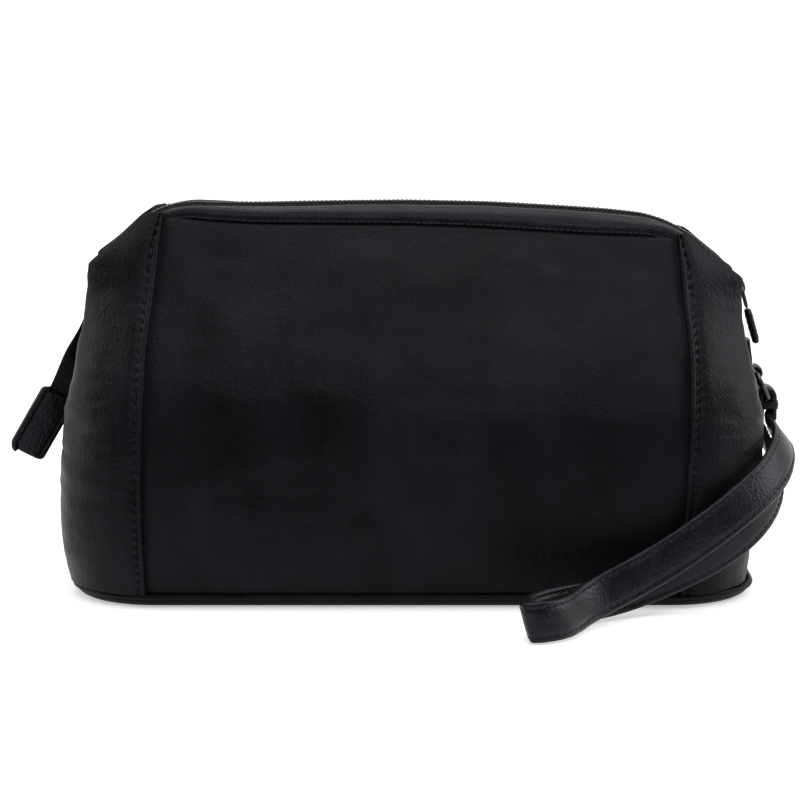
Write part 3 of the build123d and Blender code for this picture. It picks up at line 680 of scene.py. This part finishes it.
# ---------------------------------------------------------------- fixed ends of the zip
def make_zip_end(side):
    """Short stretch of zip that stays on the bag below the mouth's shoulder."""
    turn = 1 if side == "right" else -1
    turns = np.radians(np.linspace(0, 23.4, 20))
    round_outs = np.stack([np.cos(turns), np.sin(turns)], -1)
    centres = np.tile([ARCH_X, ARCH_Z], (len(turns), 1)).astype(float)
    if side == "right":
        drop = np.linspace(-13.8, -1, 10)
        centres = np.concatenate([np.stack([np.full(10, ARCH_X), ARCH_Z + drop], -1), centres])
        round_outs = np.concatenate([np.tile([1.0, 0.0], (10, 1)), round_outs])
    profile = [(39.45, -4.4), (39.5, -2.5), (39.45, 0), (39.5, 2.5), (39.45, 4.4), (39.0, 4.4), (39.0, 0),
               (39.0, -4.4)]
    base = np.stack([on_arch(centres, round_outs, r, y) for r, y in profile], axis=1) * np.array([turn, 1, 1])
    tape = tube_object(f"{side}_end_tape_skin", place(base), tape_cloth)
    fasten(tape, "bag_body", "zip_tape_cloth", f"{side}_zip_end_tape")
    turns = np.arange(0.01, math.radians(23.4), TOOTH_PITCH / CHAIN_RADIUS)
    centres = np.tile([ARCH_X, ARCH_Z], (len(turns), 1)).astype(float)
    outs = np.stack([np.cos(turns), np.sin(turns)], -1)
    beads = teeth_along(centres, outs, (-1, 1), TOOTH_PITCH / 4)
    for low in np.arange(-3.0, -0.5, TOOTH_PITCH):
        for way in (-1, 1):
            centre = (ARCH_X + CHAIN_RADIUS + 0.7, way * TOOTH_SIDE, ARCH_Z + low)
            beads.append(bead(centre, (0, way, 0.2), (1, 0, 0), *TOOTH_SIZE))
    coil = beads_object(f"{side}_end_coil_teeth", placed(beads, turn), coil_nylon)
    fasten(coil, "bag_body", "zip_coil_nylon", f"{side}_zip_end_coil")


make_zip_end("right")
make_zip_end("left")


# ---------------------------------------------------------------- flat bands of leather and tape
def flat_section(half_width, half_thickness, groove, slim=False):
    """Outline across a band: soft edges, slightly crowned faces and a groove under each row of stitches."""
    edge = min(half_thickness, 1.2)
    if slim:
        turn = np.linspace(0, 2 * math.pi, 14, endpoint=False)
        return np.stack([half_width * np.cos(turn), half_thickness * np.sin(turn)], -1)
    turns = np.radians([-70, -40, -12, 12, 40, 70])
    side = [(half_width - edge + edge * math.cos(a),
             (half_thickness - edge * 0.92) * math.copysign(1, math.sin(a)) + edge * 0.92 * math.sin(a))
            for a in turns]
    at = [half_width - edge, half_width - 1.55, half_width - 2.05, half_width - 2.55, half_width * 0.4, 0]
    dip = [0, 0.06, -groove, 0.10, 0.22, 0.28]
    top = [(x, half_thickness + d) for x, d in zip(at, dip)]
    full_top = top + [(-x, y) for x, y in reversed(top[:-1])]
    left = [(-x, y) for x, y in reversed(side)]
    bottom = [(-x, -y) for x, y in full_top]
    return np.array(side + full_top + left + bottom)


def frames_along(centres, widths):
    """Unit directions along, across and out of a band at each of its points."""
    along = np.gradient(centres, axis=0)
    along = along / np.linalg.norm(along, axis=1, keepdims=True)
    across = widths - along * np.sum(widths * along, axis=1, keepdims=True)
    across = across / np.linalg.norm(across, axis=1, keepdims=True)
    return along, across, np.cross(along, across)


def band_rings(centres, widths, half_width, half_thickness, groove=0.25, wobble=0.12, seed=0.0):
    """Rings of a flat band along its middle line, all in millimetres."""
    _, across, out = frames_along(centres, widths)
    rings = []
    for k, centre in enumerate(centres):
        half = half_width[k] if np.ndim(half_width) else half_width
        thick = half_thickness[k] if np.ndim(half_thickness) else half_thickness
        outline = flat_section(half, thick, groove, np.max(half_width) < 3)
        rings.append(centre + outline[:, :1] * across[k] + outline[:, 1:] * out[k])
    rings = np.array(rings)
    return rings + ripple(rings, (0.11, 0.11, 0.11), wobble, seed) * out[:, None, :]


def band_stitches(centres, widths, half_width, half_thickness, pitch, inset=2.05, ends=0):
    """Stitches down both edges of a band, on both faces."""
    _, across, out = frames_along(centres, widths)
    keep = slice(ends, len(centres) - ends)
    beads = []
    for edge in (-1, 1):
        for face in (-1, 1):
            half = np.broadcast_to(np.asarray(half_width) - inset, len(centres))
            line = centres + across * (edge * half)[:, None]
            line = line + out * face * (half_thickness + 0.05)
            beads += row_of_stitches(line[keep] * MM, (out * face)[keep], pitch, 2.3, 0.55, 0.5)
    return beads


def smooth_curve(points, start_way, end_way, steps):
    """Clamped cubic spline through points, with equal steps in each stretch."""
    points = np.asarray(points, float)
    stretch = np.linalg.norm(np.diff(points, axis=0), axis=1)
    count = len(points)
    matrix, right = np.zeros((count, count)), np.zeros((count, 3))
    matrix[0, 0] = matrix[-1, -1] = 1
    right[0] = np.asarray(start_way)
    right[-1] = np.asarray(end_way)
    for i in range(1, count - 1):
        before, after = stretch[i - 1], stretch[i]
        matrix[i, i - 1], matrix[i, i], matrix[i, i + 1] = after, 2 * (before + after), before
        back, ahead = points[i] - points[i - 1], points[i + 1] - points[i]
        right[i] = 3 * (after / before * back + before / after * ahead)
    slopes = np.linalg.solve(matrix, right)
    line, shares = [], []
    for i in range(count - 1):
        for t in np.arange(steps) / steps:
            line.append(cubic(points[i], points[i + 1], stretch[i] * slopes[i], stretch[i] * slopes[i + 1], t))
            shares.append(i + t)
    line.append(points[-1])
    shares.append(count - 1)
    return np.array(line), np.array(shares)


# ---------------------------------------------------------------- wrist strap
RING_TOP, RING_FOOT = (135.6, 82.5), (140.0, 73.0)
KEEPER_HEIGHT, KEEPER_HALF_X, KEEPER_HALF_Y, KEEPER_SQUARENESS = 69.9, 4.35, 7.95, 0.35
ANCHOR_HALF_WIDTH, ANCHOR_HALF_THICKNESS, ANCHOR_LENGTH, ANCHOR_TURN = 6.0, 0.8, 13.0, 1.9
STRAP_WIDTH, STRAP_THICKNESS = 15.0, 2.8
TURN_RADIUS = 2.5
STRAP_ROUTE = [
    ((142.5, 0, 64.0), (0, 1, 0)), ((143.0, -3.5, 61.2), (0.10, 0.96, -0.20)),
    ((144.4, -15, 59.4), (0.30, 0.86, -0.38)), ((143.5, -32, 57.2), (0.52, 0.60, -0.58)),
    ((138.5, -48, 51.5), (0.68, 0.35, -0.65)), ((127.5, -62, 43.5), (0.68, 0.15, -0.70)),
    ((109.0, -73, 31.5), (0.58, 0.05, -0.81)), ((87.0, -80, 18.8), (0.45, -0.05, -0.89)),
    ((63.5, -96, 9.6), (0.26, -0.08, -0.96)), ((47.6, -115.8, 7.9), (0.22, 0, -0.97)),
    ((42.2, -116.4, 7.8), (0.26, 0, -0.96)), ((41.6, -111.0, 7.8), (0.26, 0, -0.96)),
    ((57.0, -90, 8.2), (0.20, -0.05, -0.98)), ((79.0, -73, 9.2), (0.36, -0.05, -0.93)),
    ((99.0, -68, 16.0), (0.52, 0.0, -0.85)), ((116.5, -65, 24.5), (0.60, 0.25, -0.76)),
    ((129.0, -57.5, 33.0), (0.68, 0.45, -0.58)), ((137.5, -44, 42.5), (0.60, 0.62, -0.50)),
    ((140.9, -27, 51.2), (0.33, 0.80, -0.48)), ((139.4, -7.0, 56.8), (0.08, 0.92, -0.36)),
    ((137.5, 0, 64.0), (0, 1, 0)),
]


def make_strap():
    """Stitched double strap: out from the ring, round its folded tip and back."""
    places = np.array([place_ for place_, _ in STRAP_ROUTE], float)
    sides = np.array([side for _, side in STRAP_ROUTE], float)
    line, shares = smooth_curve(places, (0, 0, -1), (0, 0, 1), 10)
    widths = np.stack([np.interp(shares, np.arange(len(sides)), sides[:, i]) for i in range(3)], -1)
    turn = np.radians(np.linspace(180, 0, 13))
    over = np.stack([RING_FOOT[0] + TURN_RADIUS * np.cos(turn), 0 * turn,
                     RING_FOOT[1] + TURN_RADIUS * np.sin(turn)], -1)
    rise = np.linspace(0.12, 1, 6)[:-1][:, None]
    up = line[-1] + (over[0] - line[-1]) * rise
    down = over[-1] + (line[0] - over[-1]) * np.linspace(0, 0.88, 6)[1:][:, None]
    loop = np.concatenate([line, up, over, down])
    loop_widths = np.concatenate([widths, np.tile([0.0, 1.0, 0.0], (len(up) + len(over) + len(down), 1))])
    ends = 3
    padded_line = np.concatenate([loop[-ends:], loop, loop[:ends]])
    padded_widths = np.concatenate([loop_widths[-ends:], loop_widths, loop_widths[:ends]])
    rings = band_rings(padded_line, padded_widths, STRAP_WIDTH / 2, STRAP_THICKNESS / 2, seed=21.0)[ends:-ends]
    strap = new_object("strap_skin", rings.reshape(-1, 3) * MM, loop_faces(*rings.shape[:2]), strap_leather)
    fasten(strap, "strap", "strap_leather", "wrist_strap", "strap_turn")
    beads = band_stitches(line, widths, STRAP_WIDTH / 2, STRAP_THICKNESS / 2, 3.4, ends=2)
    stitches = beads_object("strap_stitches", beads, thread)
    fasten(stitches, "strap", "strap_leather")


def make_keeper():
    """Small leather loop round both layers of the strap."""
    around = []
    for a in np.radians(np.arange(0, 360, 10)):
        c, s = math.cos(a), math.sin(a)
        around.append((RING_FOOT[0] + KEEPER_HALF_X * math.copysign(abs(c) ** KEEPER_SQUARENESS, c),
                       KEEPER_HALF_Y * math.copysign(abs(s) ** KEEPER_SQUARENESS, s)))
    profile = [(0.35, -1.45), (0.42, -0.8), (0.45, 0), (0.42, 0.8), (0.35, 1.45), (-0.35, 1.5), (-0.35, -1.5)]
    rings = []
    for x, y in around:
        out = np.array([x - RING_FOOT[0], y * 0.55])
        out = out / np.linalg.norm(out)
        rings.append([(x + out[0] * o, y + out[1] * o, KEEPER_HEIGHT + h) for o, h in profile])
    rings = np.array(rings)
    keeper = new_object("keeper_skin", rings.reshape(-1, 3) * MM, loop_faces(*rings.shape[:2]), strap_leather)
    fasten(keeper, "strap", "strap_leather", "strap_keeper")


def make_anchor():
    """Leather tab on the right-hand gusset, folded round the top of the ring."""
    x, z = RING_TOP
    turn = np.radians(np.linspace(0, 270, 14))
    fold = np.stack([x - ANCHOR_TURN * np.cos(turn), 0 * turn, z - ANCHOR_TURN * np.sin(turn)], -1)
    strip = np.stack([np.linspace(x - ANCHOR_TURN - 1.5, x - ANCHOR_TURN, 12), np.zeros(12),
                      np.linspace(z + ANCHOR_LENGTH, z + 0.6, 12)], -1)
    line = np.concatenate([strip, fold])
    widths = np.tile([0.0, 1.0, 0.0], (len(line), 1))
    rings = band_rings(line, widths, ANCHOR_HALF_WIDTH, ANCHOR_HALF_THICKNESS, seed=5.0)
    tab = tube_object("anchor_tab_skin", rings * MM, strap_leather)
    fasten(tab, "bag_body", "strap_leather", "strap_anchor_tab")


make_strap()
make_keeper()
make_anchor()


# ---------------------------------------------------------------- wire, slider, puller and the two tabs
def wire(name, path, radius, material, closed=True, sides=10):
    """Round wire along a path of points in metres."""
    path = np.asarray(path, float)
    if closed:
        along = np.roll(path, -1, axis=0) - np.roll(path, 1, axis=0)
    else:
        along = np.gradient(path, axis=0)
    along = along / np.linalg.norm(along, axis=1, keepdims=True)
    reference = np.eye(3)[np.argmin(np.ptp(path, axis=0))]
    rings = []
    for centre, way in zip(path, along):
        across = np.cross(way, reference)
        across = across / np.linalg.norm(across)
        other = np.cross(way, across)
        rings.append([centre + radius * (math.cos(a) * across + math.sin(a) * other)
                      for a in np.linspace(0, 2 * math.pi, sides, endpoint=False)])
    rings = np.array(rings)
    if not closed:
        return tube_object(name, rings, material)
    return new_object(name, rings.reshape(-1, 3), loop_faces(*rings.shape[:2]), material)


def rounded_loop(half_x, half_y, corner, steps=7):
    """Points round a rounded rectangle."""
    points = []
    for sx, sy, start in ((1, 1, 0), (-1, 1, 90), (-1, -1, 180), (1, -1, 270)):
        for a in np.radians(np.linspace(start, start + 90, steps)):
            points.append((sx * (half_x - corner) + corner * math.cos(a),
                           sy * (half_y - corner) + corner * math.sin(a)))
    return np.array(points)


SLIDER_ANGLE, SLIDER_HALF_SPAN = 15.0, 8.0


def on_shoulder(degrees, radius, y):
    a = math.radians(degrees)
    return (ARCH_X + radius * math.cos(a), y, ARCH_Z + radius * math.sin(a))


def slider_plate(name, inner, outer, ends, middle):
    """One plate of the slider: rounded in outline, softly bevelled and bent to the shoulder."""
    rings = []
    for share in (-1, -0.93, -0.8, -0.5, 0, 0.5, 0.8, 0.93, 1):
        half = ends + (middle - ends) * (1 - abs(share) ** 2.6)
        trim = 0.35 * abs(share) ** 8 * (outer - inner)
        degrees = SLIDER_ANGLE + share * SLIDER_HALF_SPAN
        low, high = inner + trim, outer - trim
        bevel = 0.28 * (high - low)
        outline = [(high, -half + bevel), (high + 0.15, 0), (high, half - bevel), (high - bevel, half),
                   (low + bevel, half), (low, half - bevel), (low, -half + bevel), (low + bevel, -half),
                   (high - bevel, -half)]
        rings.append([on_shoulder(degrees, r, y) for r, y in outline])
    return tube_object(name, place(np.array(rings)), slider_metal)


def make_slider():
    """Two plates, their joined flanges, the post between them and the bail on top."""
    parts = [slider_plate("slider_skin", 41.2, 42.3, 3.0, 4.7),
             slider_plate("slider_under_plate", 37.5, 38.7, 3.0, 4.6)]
    for face, way in (("front", -1), ("back", 1)):
        rings = []
        for degrees in np.linspace(SLIDER_ANGLE - 6.4, SLIDER_ANGLE + 6.4, 9):
            rings.append([on_shoulder(degrees, r, way * y) for r, y in
                          ((41.9, 3.5), (41.9, 4.4), (41.4, 4.7), (40.2, 4.6), (39.9, 4.2), (39.9, 3.5))])
        parts.append(tube_object(f"slider_flange_{face}", place(np.array(rings)), slider_metal))
    rings = []
    for degrees in np.linspace(SLIDER_ANGLE - 2, SLIDER_ANGLE + 2, 4):
        section = ((38.2, -0.3), (38.2, 0.3), (41.6, 0.3), (41.6, -0.3))
        rings.append([on_shoulder(degrees, r, y) for r, y in section])
    parts.append(tube_object("slider_post", place(np.array(rings)), slider_metal))
    path = []
    for share in np.linspace(-1, 1, 17):
        degrees = SLIDER_ANGLE + share * 5.2
        rise = 42.0 + 2.45 * (1 - abs(share) ** 3.2)
        path.append(on_shoulder(degrees, rise, 0))
    parts.append(wire("slider_bail", place(np.array(path)), 0.8 * MM, slider_metal, closed=False))
    for part in parts:
        fasten(part, "slider", "hardware_metal")
    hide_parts("zip_slider")


PULLER_LEAN, PULLER_LENGTH, PULLER_EYE = 17.0, 9.0, 0.9
PULL_TAB = (14.0, 9.0, 2.2)


def make_puller():
    """Metal ring through the bail and the folded leather tab in it."""
    pivot = np.array(on_shoulder(SLIDER_ANGLE - 2.5, 43.4, 0))
    hang = math.radians(PULLER_LEAN)
    down = np.array([math.sin(hang), 0, -math.cos(hang)])
    across = np.array([0.0, 1.0, 0.0])
    middle = pivot + down * (PULLER_LENGTH / 2 - PULLER_EYE)
    loop = rounded_loop(2.4, PULLER_LENGTH / 2 - 0.62, 1.9)
    path = np.array([middle + across * u + down * v for u, v in loop])
    puller = wire("puller_skin", path @ SAG.T * MM, 0.62 * MM, slider_metal)
    fasten(puller, "puller", "hardware_metal", "zip_puller")
    length, width, thickness = PULL_TAB
    start = pivot + down * (PULLER_LENGTH - PULLER_EYE + 0.4)
    line, widths, half_widths, halves = tab_line(start, down, across, length, width, thickness)
    turned = line @ SAG.T
    tab = tube_object("pull_tab_skin", band_rings(turned, widths, half_widths, halves, groove=0.15, wobble=0.06,
                                                  seed=2.0) * MM, strap_leather)
    fasten(tab, "pull_tab", "tab_leather", "zip_pull_tab")
    beads = band_stitches(turned, widths, half_widths, thickness / 2, 2.0, inset=1.6, ends=4)
    stitches = beads_object("pull_tab_stitches", beads, thread)
    fasten(stitches, "pull_tab", "tab_leather")


def tab_line(start, down, across, length, width, thickness, corner=2.0):
    """Middle line and half widths of a small tab with rounded ends."""
    at = np.concatenate([[0, 0.25, 0.7, 1.3, 2.0], np.linspace(3, length - 3, 12),
                         [length - 2.0, length - 1.3, length - 0.7, length - 0.25, length]])
    line = start + at[:, None] * down
    widths = np.tile(across, (len(at), 1))
    from_end = np.minimum(at, length - at)
    short = np.maximum(0, corner - from_end)
    half_widths = width / 2 - (corner - np.sqrt(np.maximum(corner**2 - short**2, 0))) * 0.92
    halves = thickness / 2 * (0.62 + 0.38 * smooth(from_end / 0.7))
    return line, widths, half_widths, halves


TAIL_ROUTE = [(-129.6, 0, 106.4), (-135.8, 0, 88.5), (-143.4, 0, 67.5)]
TAIL_TWIST, TAIL_LEAN = math.radians(75), math.radians(29)
TAIL_TAB = (28.0, 15.0, 3.0)
TAIL_GRIP = 4.0


def turned_about(vector, axis, angle):
    axis = axis / np.linalg.norm(axis)
    return (vector * math.cos(angle) + np.cross(axis, vector) * math.sin(angle)
            + axis * np.dot(axis, vector) * (1 - math.cos(angle)))


def make_zip_tail():
    """Loose end of the zip tape, twisted to face forward, in its folded and stitched leather tab."""
    places = np.array(TAIL_ROUTE, float)
    first_way = (places[1] - places[0]) / np.linalg.norm(places[1] - places[0])
    last_way = np.array([-math.sin(TAIL_LEAN), 0, -math.cos(TAIL_LEAN)])
    line, shares = smooth_curve(places, first_way * 1.4, last_way * 1.4, 12)
    along, _, _ = frames_along(line, np.tile([0.0, 1.0, 0.0], (len(line), 1)))
    twists = TAIL_TWIST * smooth(shares / 2) ** 1.2
    widths = np.array([turned_about(np.array([0.0, 1.0, 0.0]), way, twist) for way, twist in zip(along, twists)])
    rings = []
    _, across, out = frames_along(line, widths)
    for k in range(len(line)):
        wave = 0.25 * math.sin(k * 0.9)
        outline = [(-4.5, 0.35), (-2, 0.45 + wave * 0.3), (0, 0.4 + wave), (2, 0.45 + wave * 0.3), (4.5, 0.35),
                   (4.5, -0.35), (2, -0.3 + wave * 0.3), (0, -0.35 + wave), (-2, -0.3 + wave * 0.3), (-4.5, -0.35)]
        rings.append([line[k] + u * across[k] + v * out[k] for u, v in outline])
    tape = tube_object("tail_tape_skin", np.array(rings) @ SAG.T * MM, tape_cloth)
    fasten(tape, "zip_tail", "zip_tape_cloth", "zip_tail_tape")
    length, width, thickness = TAIL_TAB
    across_tab = turned_about(np.array([0.0, 1.0, 0.0]), last_way, TAIL_TWIST)
    start = places[2] - last_way * TAIL_GRIP
    line, widths, half_widths, halves = tab_line(start, last_way, across_tab, length, width, thickness, corner=2.4)
    line, widths = line @ SAG.T, widths @ SAG.T
    tab = tube_object("tail_tab_skin", band_rings(line, widths, half_widths, halves, wobble=0.15, seed=9.0) * MM,
                      strap_leather)
    fasten(tab, "zip_tail", "tab_leather", "zip_tail_tab")
    _, across, out = frames_along(line, widths)
    left, front = across * -np.sign(across[:, :1]), out * -np.sign(out[:, 1:2])
    edge = line + left * (half_widths - 1.1)[:, None] + front * (thickness / 2 + 0.45)
    lip = band_rings(edge, widths, 1.15, 0.75, groove=0, wobble=0.05, seed=4.0)
    folded = tube_object("tail_tab_lip", lip * MM, strap_leather)
    fasten(folded, "zip_tail", "tab_leather")
    beads = band_stitches(line, widths, half_widths, thickness / 2, 2.6, inset=3.4, ends=5)
    stitches = beads_object("tail_tab_stitches", beads, thread)
    fasten(stitches, "zip_tail", "tab_leather")


make_slider()
make_puller()
make_zip_tail()


# ---------------------------------------------------------------- base, board and pocket
BASE_HALF_X, BASE_HALF_Y, BASE_CORNER = 132.0, 58.5, 34.0


def ring_of(inset, z, steps=14):
    """Rounded outline of the base at a height, smaller by an inset."""
    loop = rounded_loop(BASE_HALF_X - inset, BASE_HALF_Y - inset, BASE_CORNER - inset, steps)
    return np.column_stack([loop, np.full(len(loop), z)])


def dense_loop(loop, count=360):
    """Evenly spaced points round a closed loop."""
    closed = np.concatenate([loop, loop[:1]])
    run = np.concatenate([[0], np.cumsum(np.linalg.norm(np.diff(closed, axis=0), axis=1))])
    at = np.linspace(0, run[-1], count, endpoint=False)
    return np.stack([np.interp(at, run, closed[:, i]) for i in range(3)], -1)


def make_base():
    """Base: leather over a stiff board, turned up into a corded welt."""
    levels = [(20, 0.0), (8, 0.0), (4.2, 0.0), (3.0, 0.25), (1.6, 1.0), (0.6, 2.0), (0.0, 3.0), (0.4, 3.6),
              (1.5, 4.0), (1.6, 4.8), (3.5, 5.1), (8, 5.15)]
    rings = np.array([dense_loop(ring_of(inset, z)) for inset, z in levels])
    skin = tube_object("base_skin", rings * MM, base_leather)
    fasten(skin, "bag_body", "base_leather", "base_panel")
    cord = wire("base_welt_cord", dense_loop(ring_of(-0.05, 4.1)) * MM, 1.15 * MM, base_leather)
    fasten(cord, "bag_body", "base_leather", "base_welt")
    levels = [(30, 5.9), (15, 6.0), (6, 6.0), (4.6, 5.8), (4.6, 5.25), (15, 5.22), (30, 5.2)]
    lining = [dense_loop(ring_of(inset, z)) for inset, z in levels]
    pad = tube_object("base_lining_skin", np.array(lining) * MM, lining_cloth)
    fasten(pad, "bag_body", "lining_cloth", "base_lining")


def make_pocket():
    """Open cloth pocket inside the back, with a hem along its top."""
    across = np.linspace(-62, 62, 60)
    heights = np.concatenate([np.linspace(12, 58, 24), [59, 60, 61, 62]])
    depth = through(DEPTH, heights) - LEATHER - 2.2
    hem = np.where(heights > 58.5, 0.35, 0)
    x, z = np.meshgrid(across, heights)
    slack = 1.2 * (1 - (x / 62) ** 2) * smooth((z - 20) / 42)
    y = depth[:, None] + 1.4 - slack - hem[:, None]
    outer = np.stack([x, y, z], -1)
    inner = outer - np.array([0, 0.7, 0]) - np.stack([0 * x, hem[:, None] + 0 * x, 0 * x], -1)
    pocket = shell_object("slip_pocket_skin", place(outer), place(inner), lining_cloth)
    fasten(pocket, "bag_body", "lining_cloth", "slip_pocket")


make_base()
make_pocket()

for name, material in (("base_board", board_card), ("strap_ring", slider_metal),
                       ("left_hinge_rivet", slider_metal), ("right_hinge_rivet", slider_metal)):
    mesh = frame["nodes"][name].data
    mesh.materials.clear()
    mesh.materials.append(material)


# ---------------------------------------------------------------- floor, light and camera
def make_floor():
    rows = []
    for y, z in [(-1.6, 0), (-0.6, 0), (0.4, 0), (1.0, 0), (1.35, 0.05), (1.6, 0.2), (1.75, 0.45), (1.8, 0.9),
                 (1.8, 2.2)]:
        rows.append([(x, y, z - 0.0002) for x in np.linspace(-2.4, 2.4, 9)])
    grid = np.array(rows)
    white = surface("studio_white", (0.80, 0.80, 0.80), (0.84, 0.84, 0.84), 0.6, 0.75, 3,
                    [("noise", 40, EVEN, 0.02, 0.001)], specular=0.2)
    shader = white.node_tree.nodes["Principled BSDF"]
    shader.inputs["Emission Color"].default_value = (1, 1, 1, 1)
    shader.inputs["Emission Strength"].default_value = 0.45
    floor = new_object("floor_sweep", grid.reshape(-1, 3), grid_faces(*grid.shape[:2]), white)


def area_light(name, location, aim, size_x, size_y, power):
    data = bpy.data.lights.new(name, "AREA")
    data.shape = "RECTANGLE"
    data.size, data.size_y, data.energy = size_x, size_y, power
    light = bpy.data.objects.new(name, data)
    light.location = location
    light.rotation_euler = (Vector(aim) - Vector(location)).to_track_quat("-Z", "Y").to_euler()
    bpy.context.scene.collection.objects.link(light)


def make_studio():
    make_floor()
    area_light("top_box", (0, 0.15, 1.2), (0, 0, 0.05), 1.5, 1.1, 16)
    area_light("left_box", (-1.1, 0.2, 0.55), (0, 0, 0.08), 0.7, 0.9, 6)
    area_light("right_box", (1.1, 0.1, 0.6), (0, 0, 0.08), 0.7, 0.9, 9)
    area_light("front_box", (0.15, -1.0, 1.15), (0, 0, 0.08), 1.0, 0.5, 7)
    world = bpy.data.worlds.new("studio_world")
    world.use_nodes = True
    background = world.node_tree.nodes["Background"]
    background.inputs["Color"].default_value = (1, 1, 1, 1)
    background.inputs["Strength"].default_value = 0.12
    bpy.context.scene.world = world
    bpy.context.scene.view_settings.view_transform = "Standard"


CAMERA_ELEVATION = math.radians(9)
CAMERA_DISTANCE = 1.2
CAMERA_TARGET = Vector((-0.0050, 0, 0.0710))


def make_camera():
    data = bpy.data.cameras.new("camera")
    data.lens = 136
    data.sensor_width = 36
    camera = bpy.data.objects.new("camera", data)
    camera.location = CAMERA_TARGET + CAMERA_DISTANCE * Vector((0, -math.cos(CAMERA_ELEVATION),
                                                                 math.sin(CAMERA_ELEVATION)))
    camera.rotation_euler = (CAMERA_TARGET - camera.location).to_track_quat("-Z", "Y").to_euler()
    bpy.context.scene.collection.objects.link(camera)
    bpy.context.scene.camera = camera


make_studio()
make_camera()
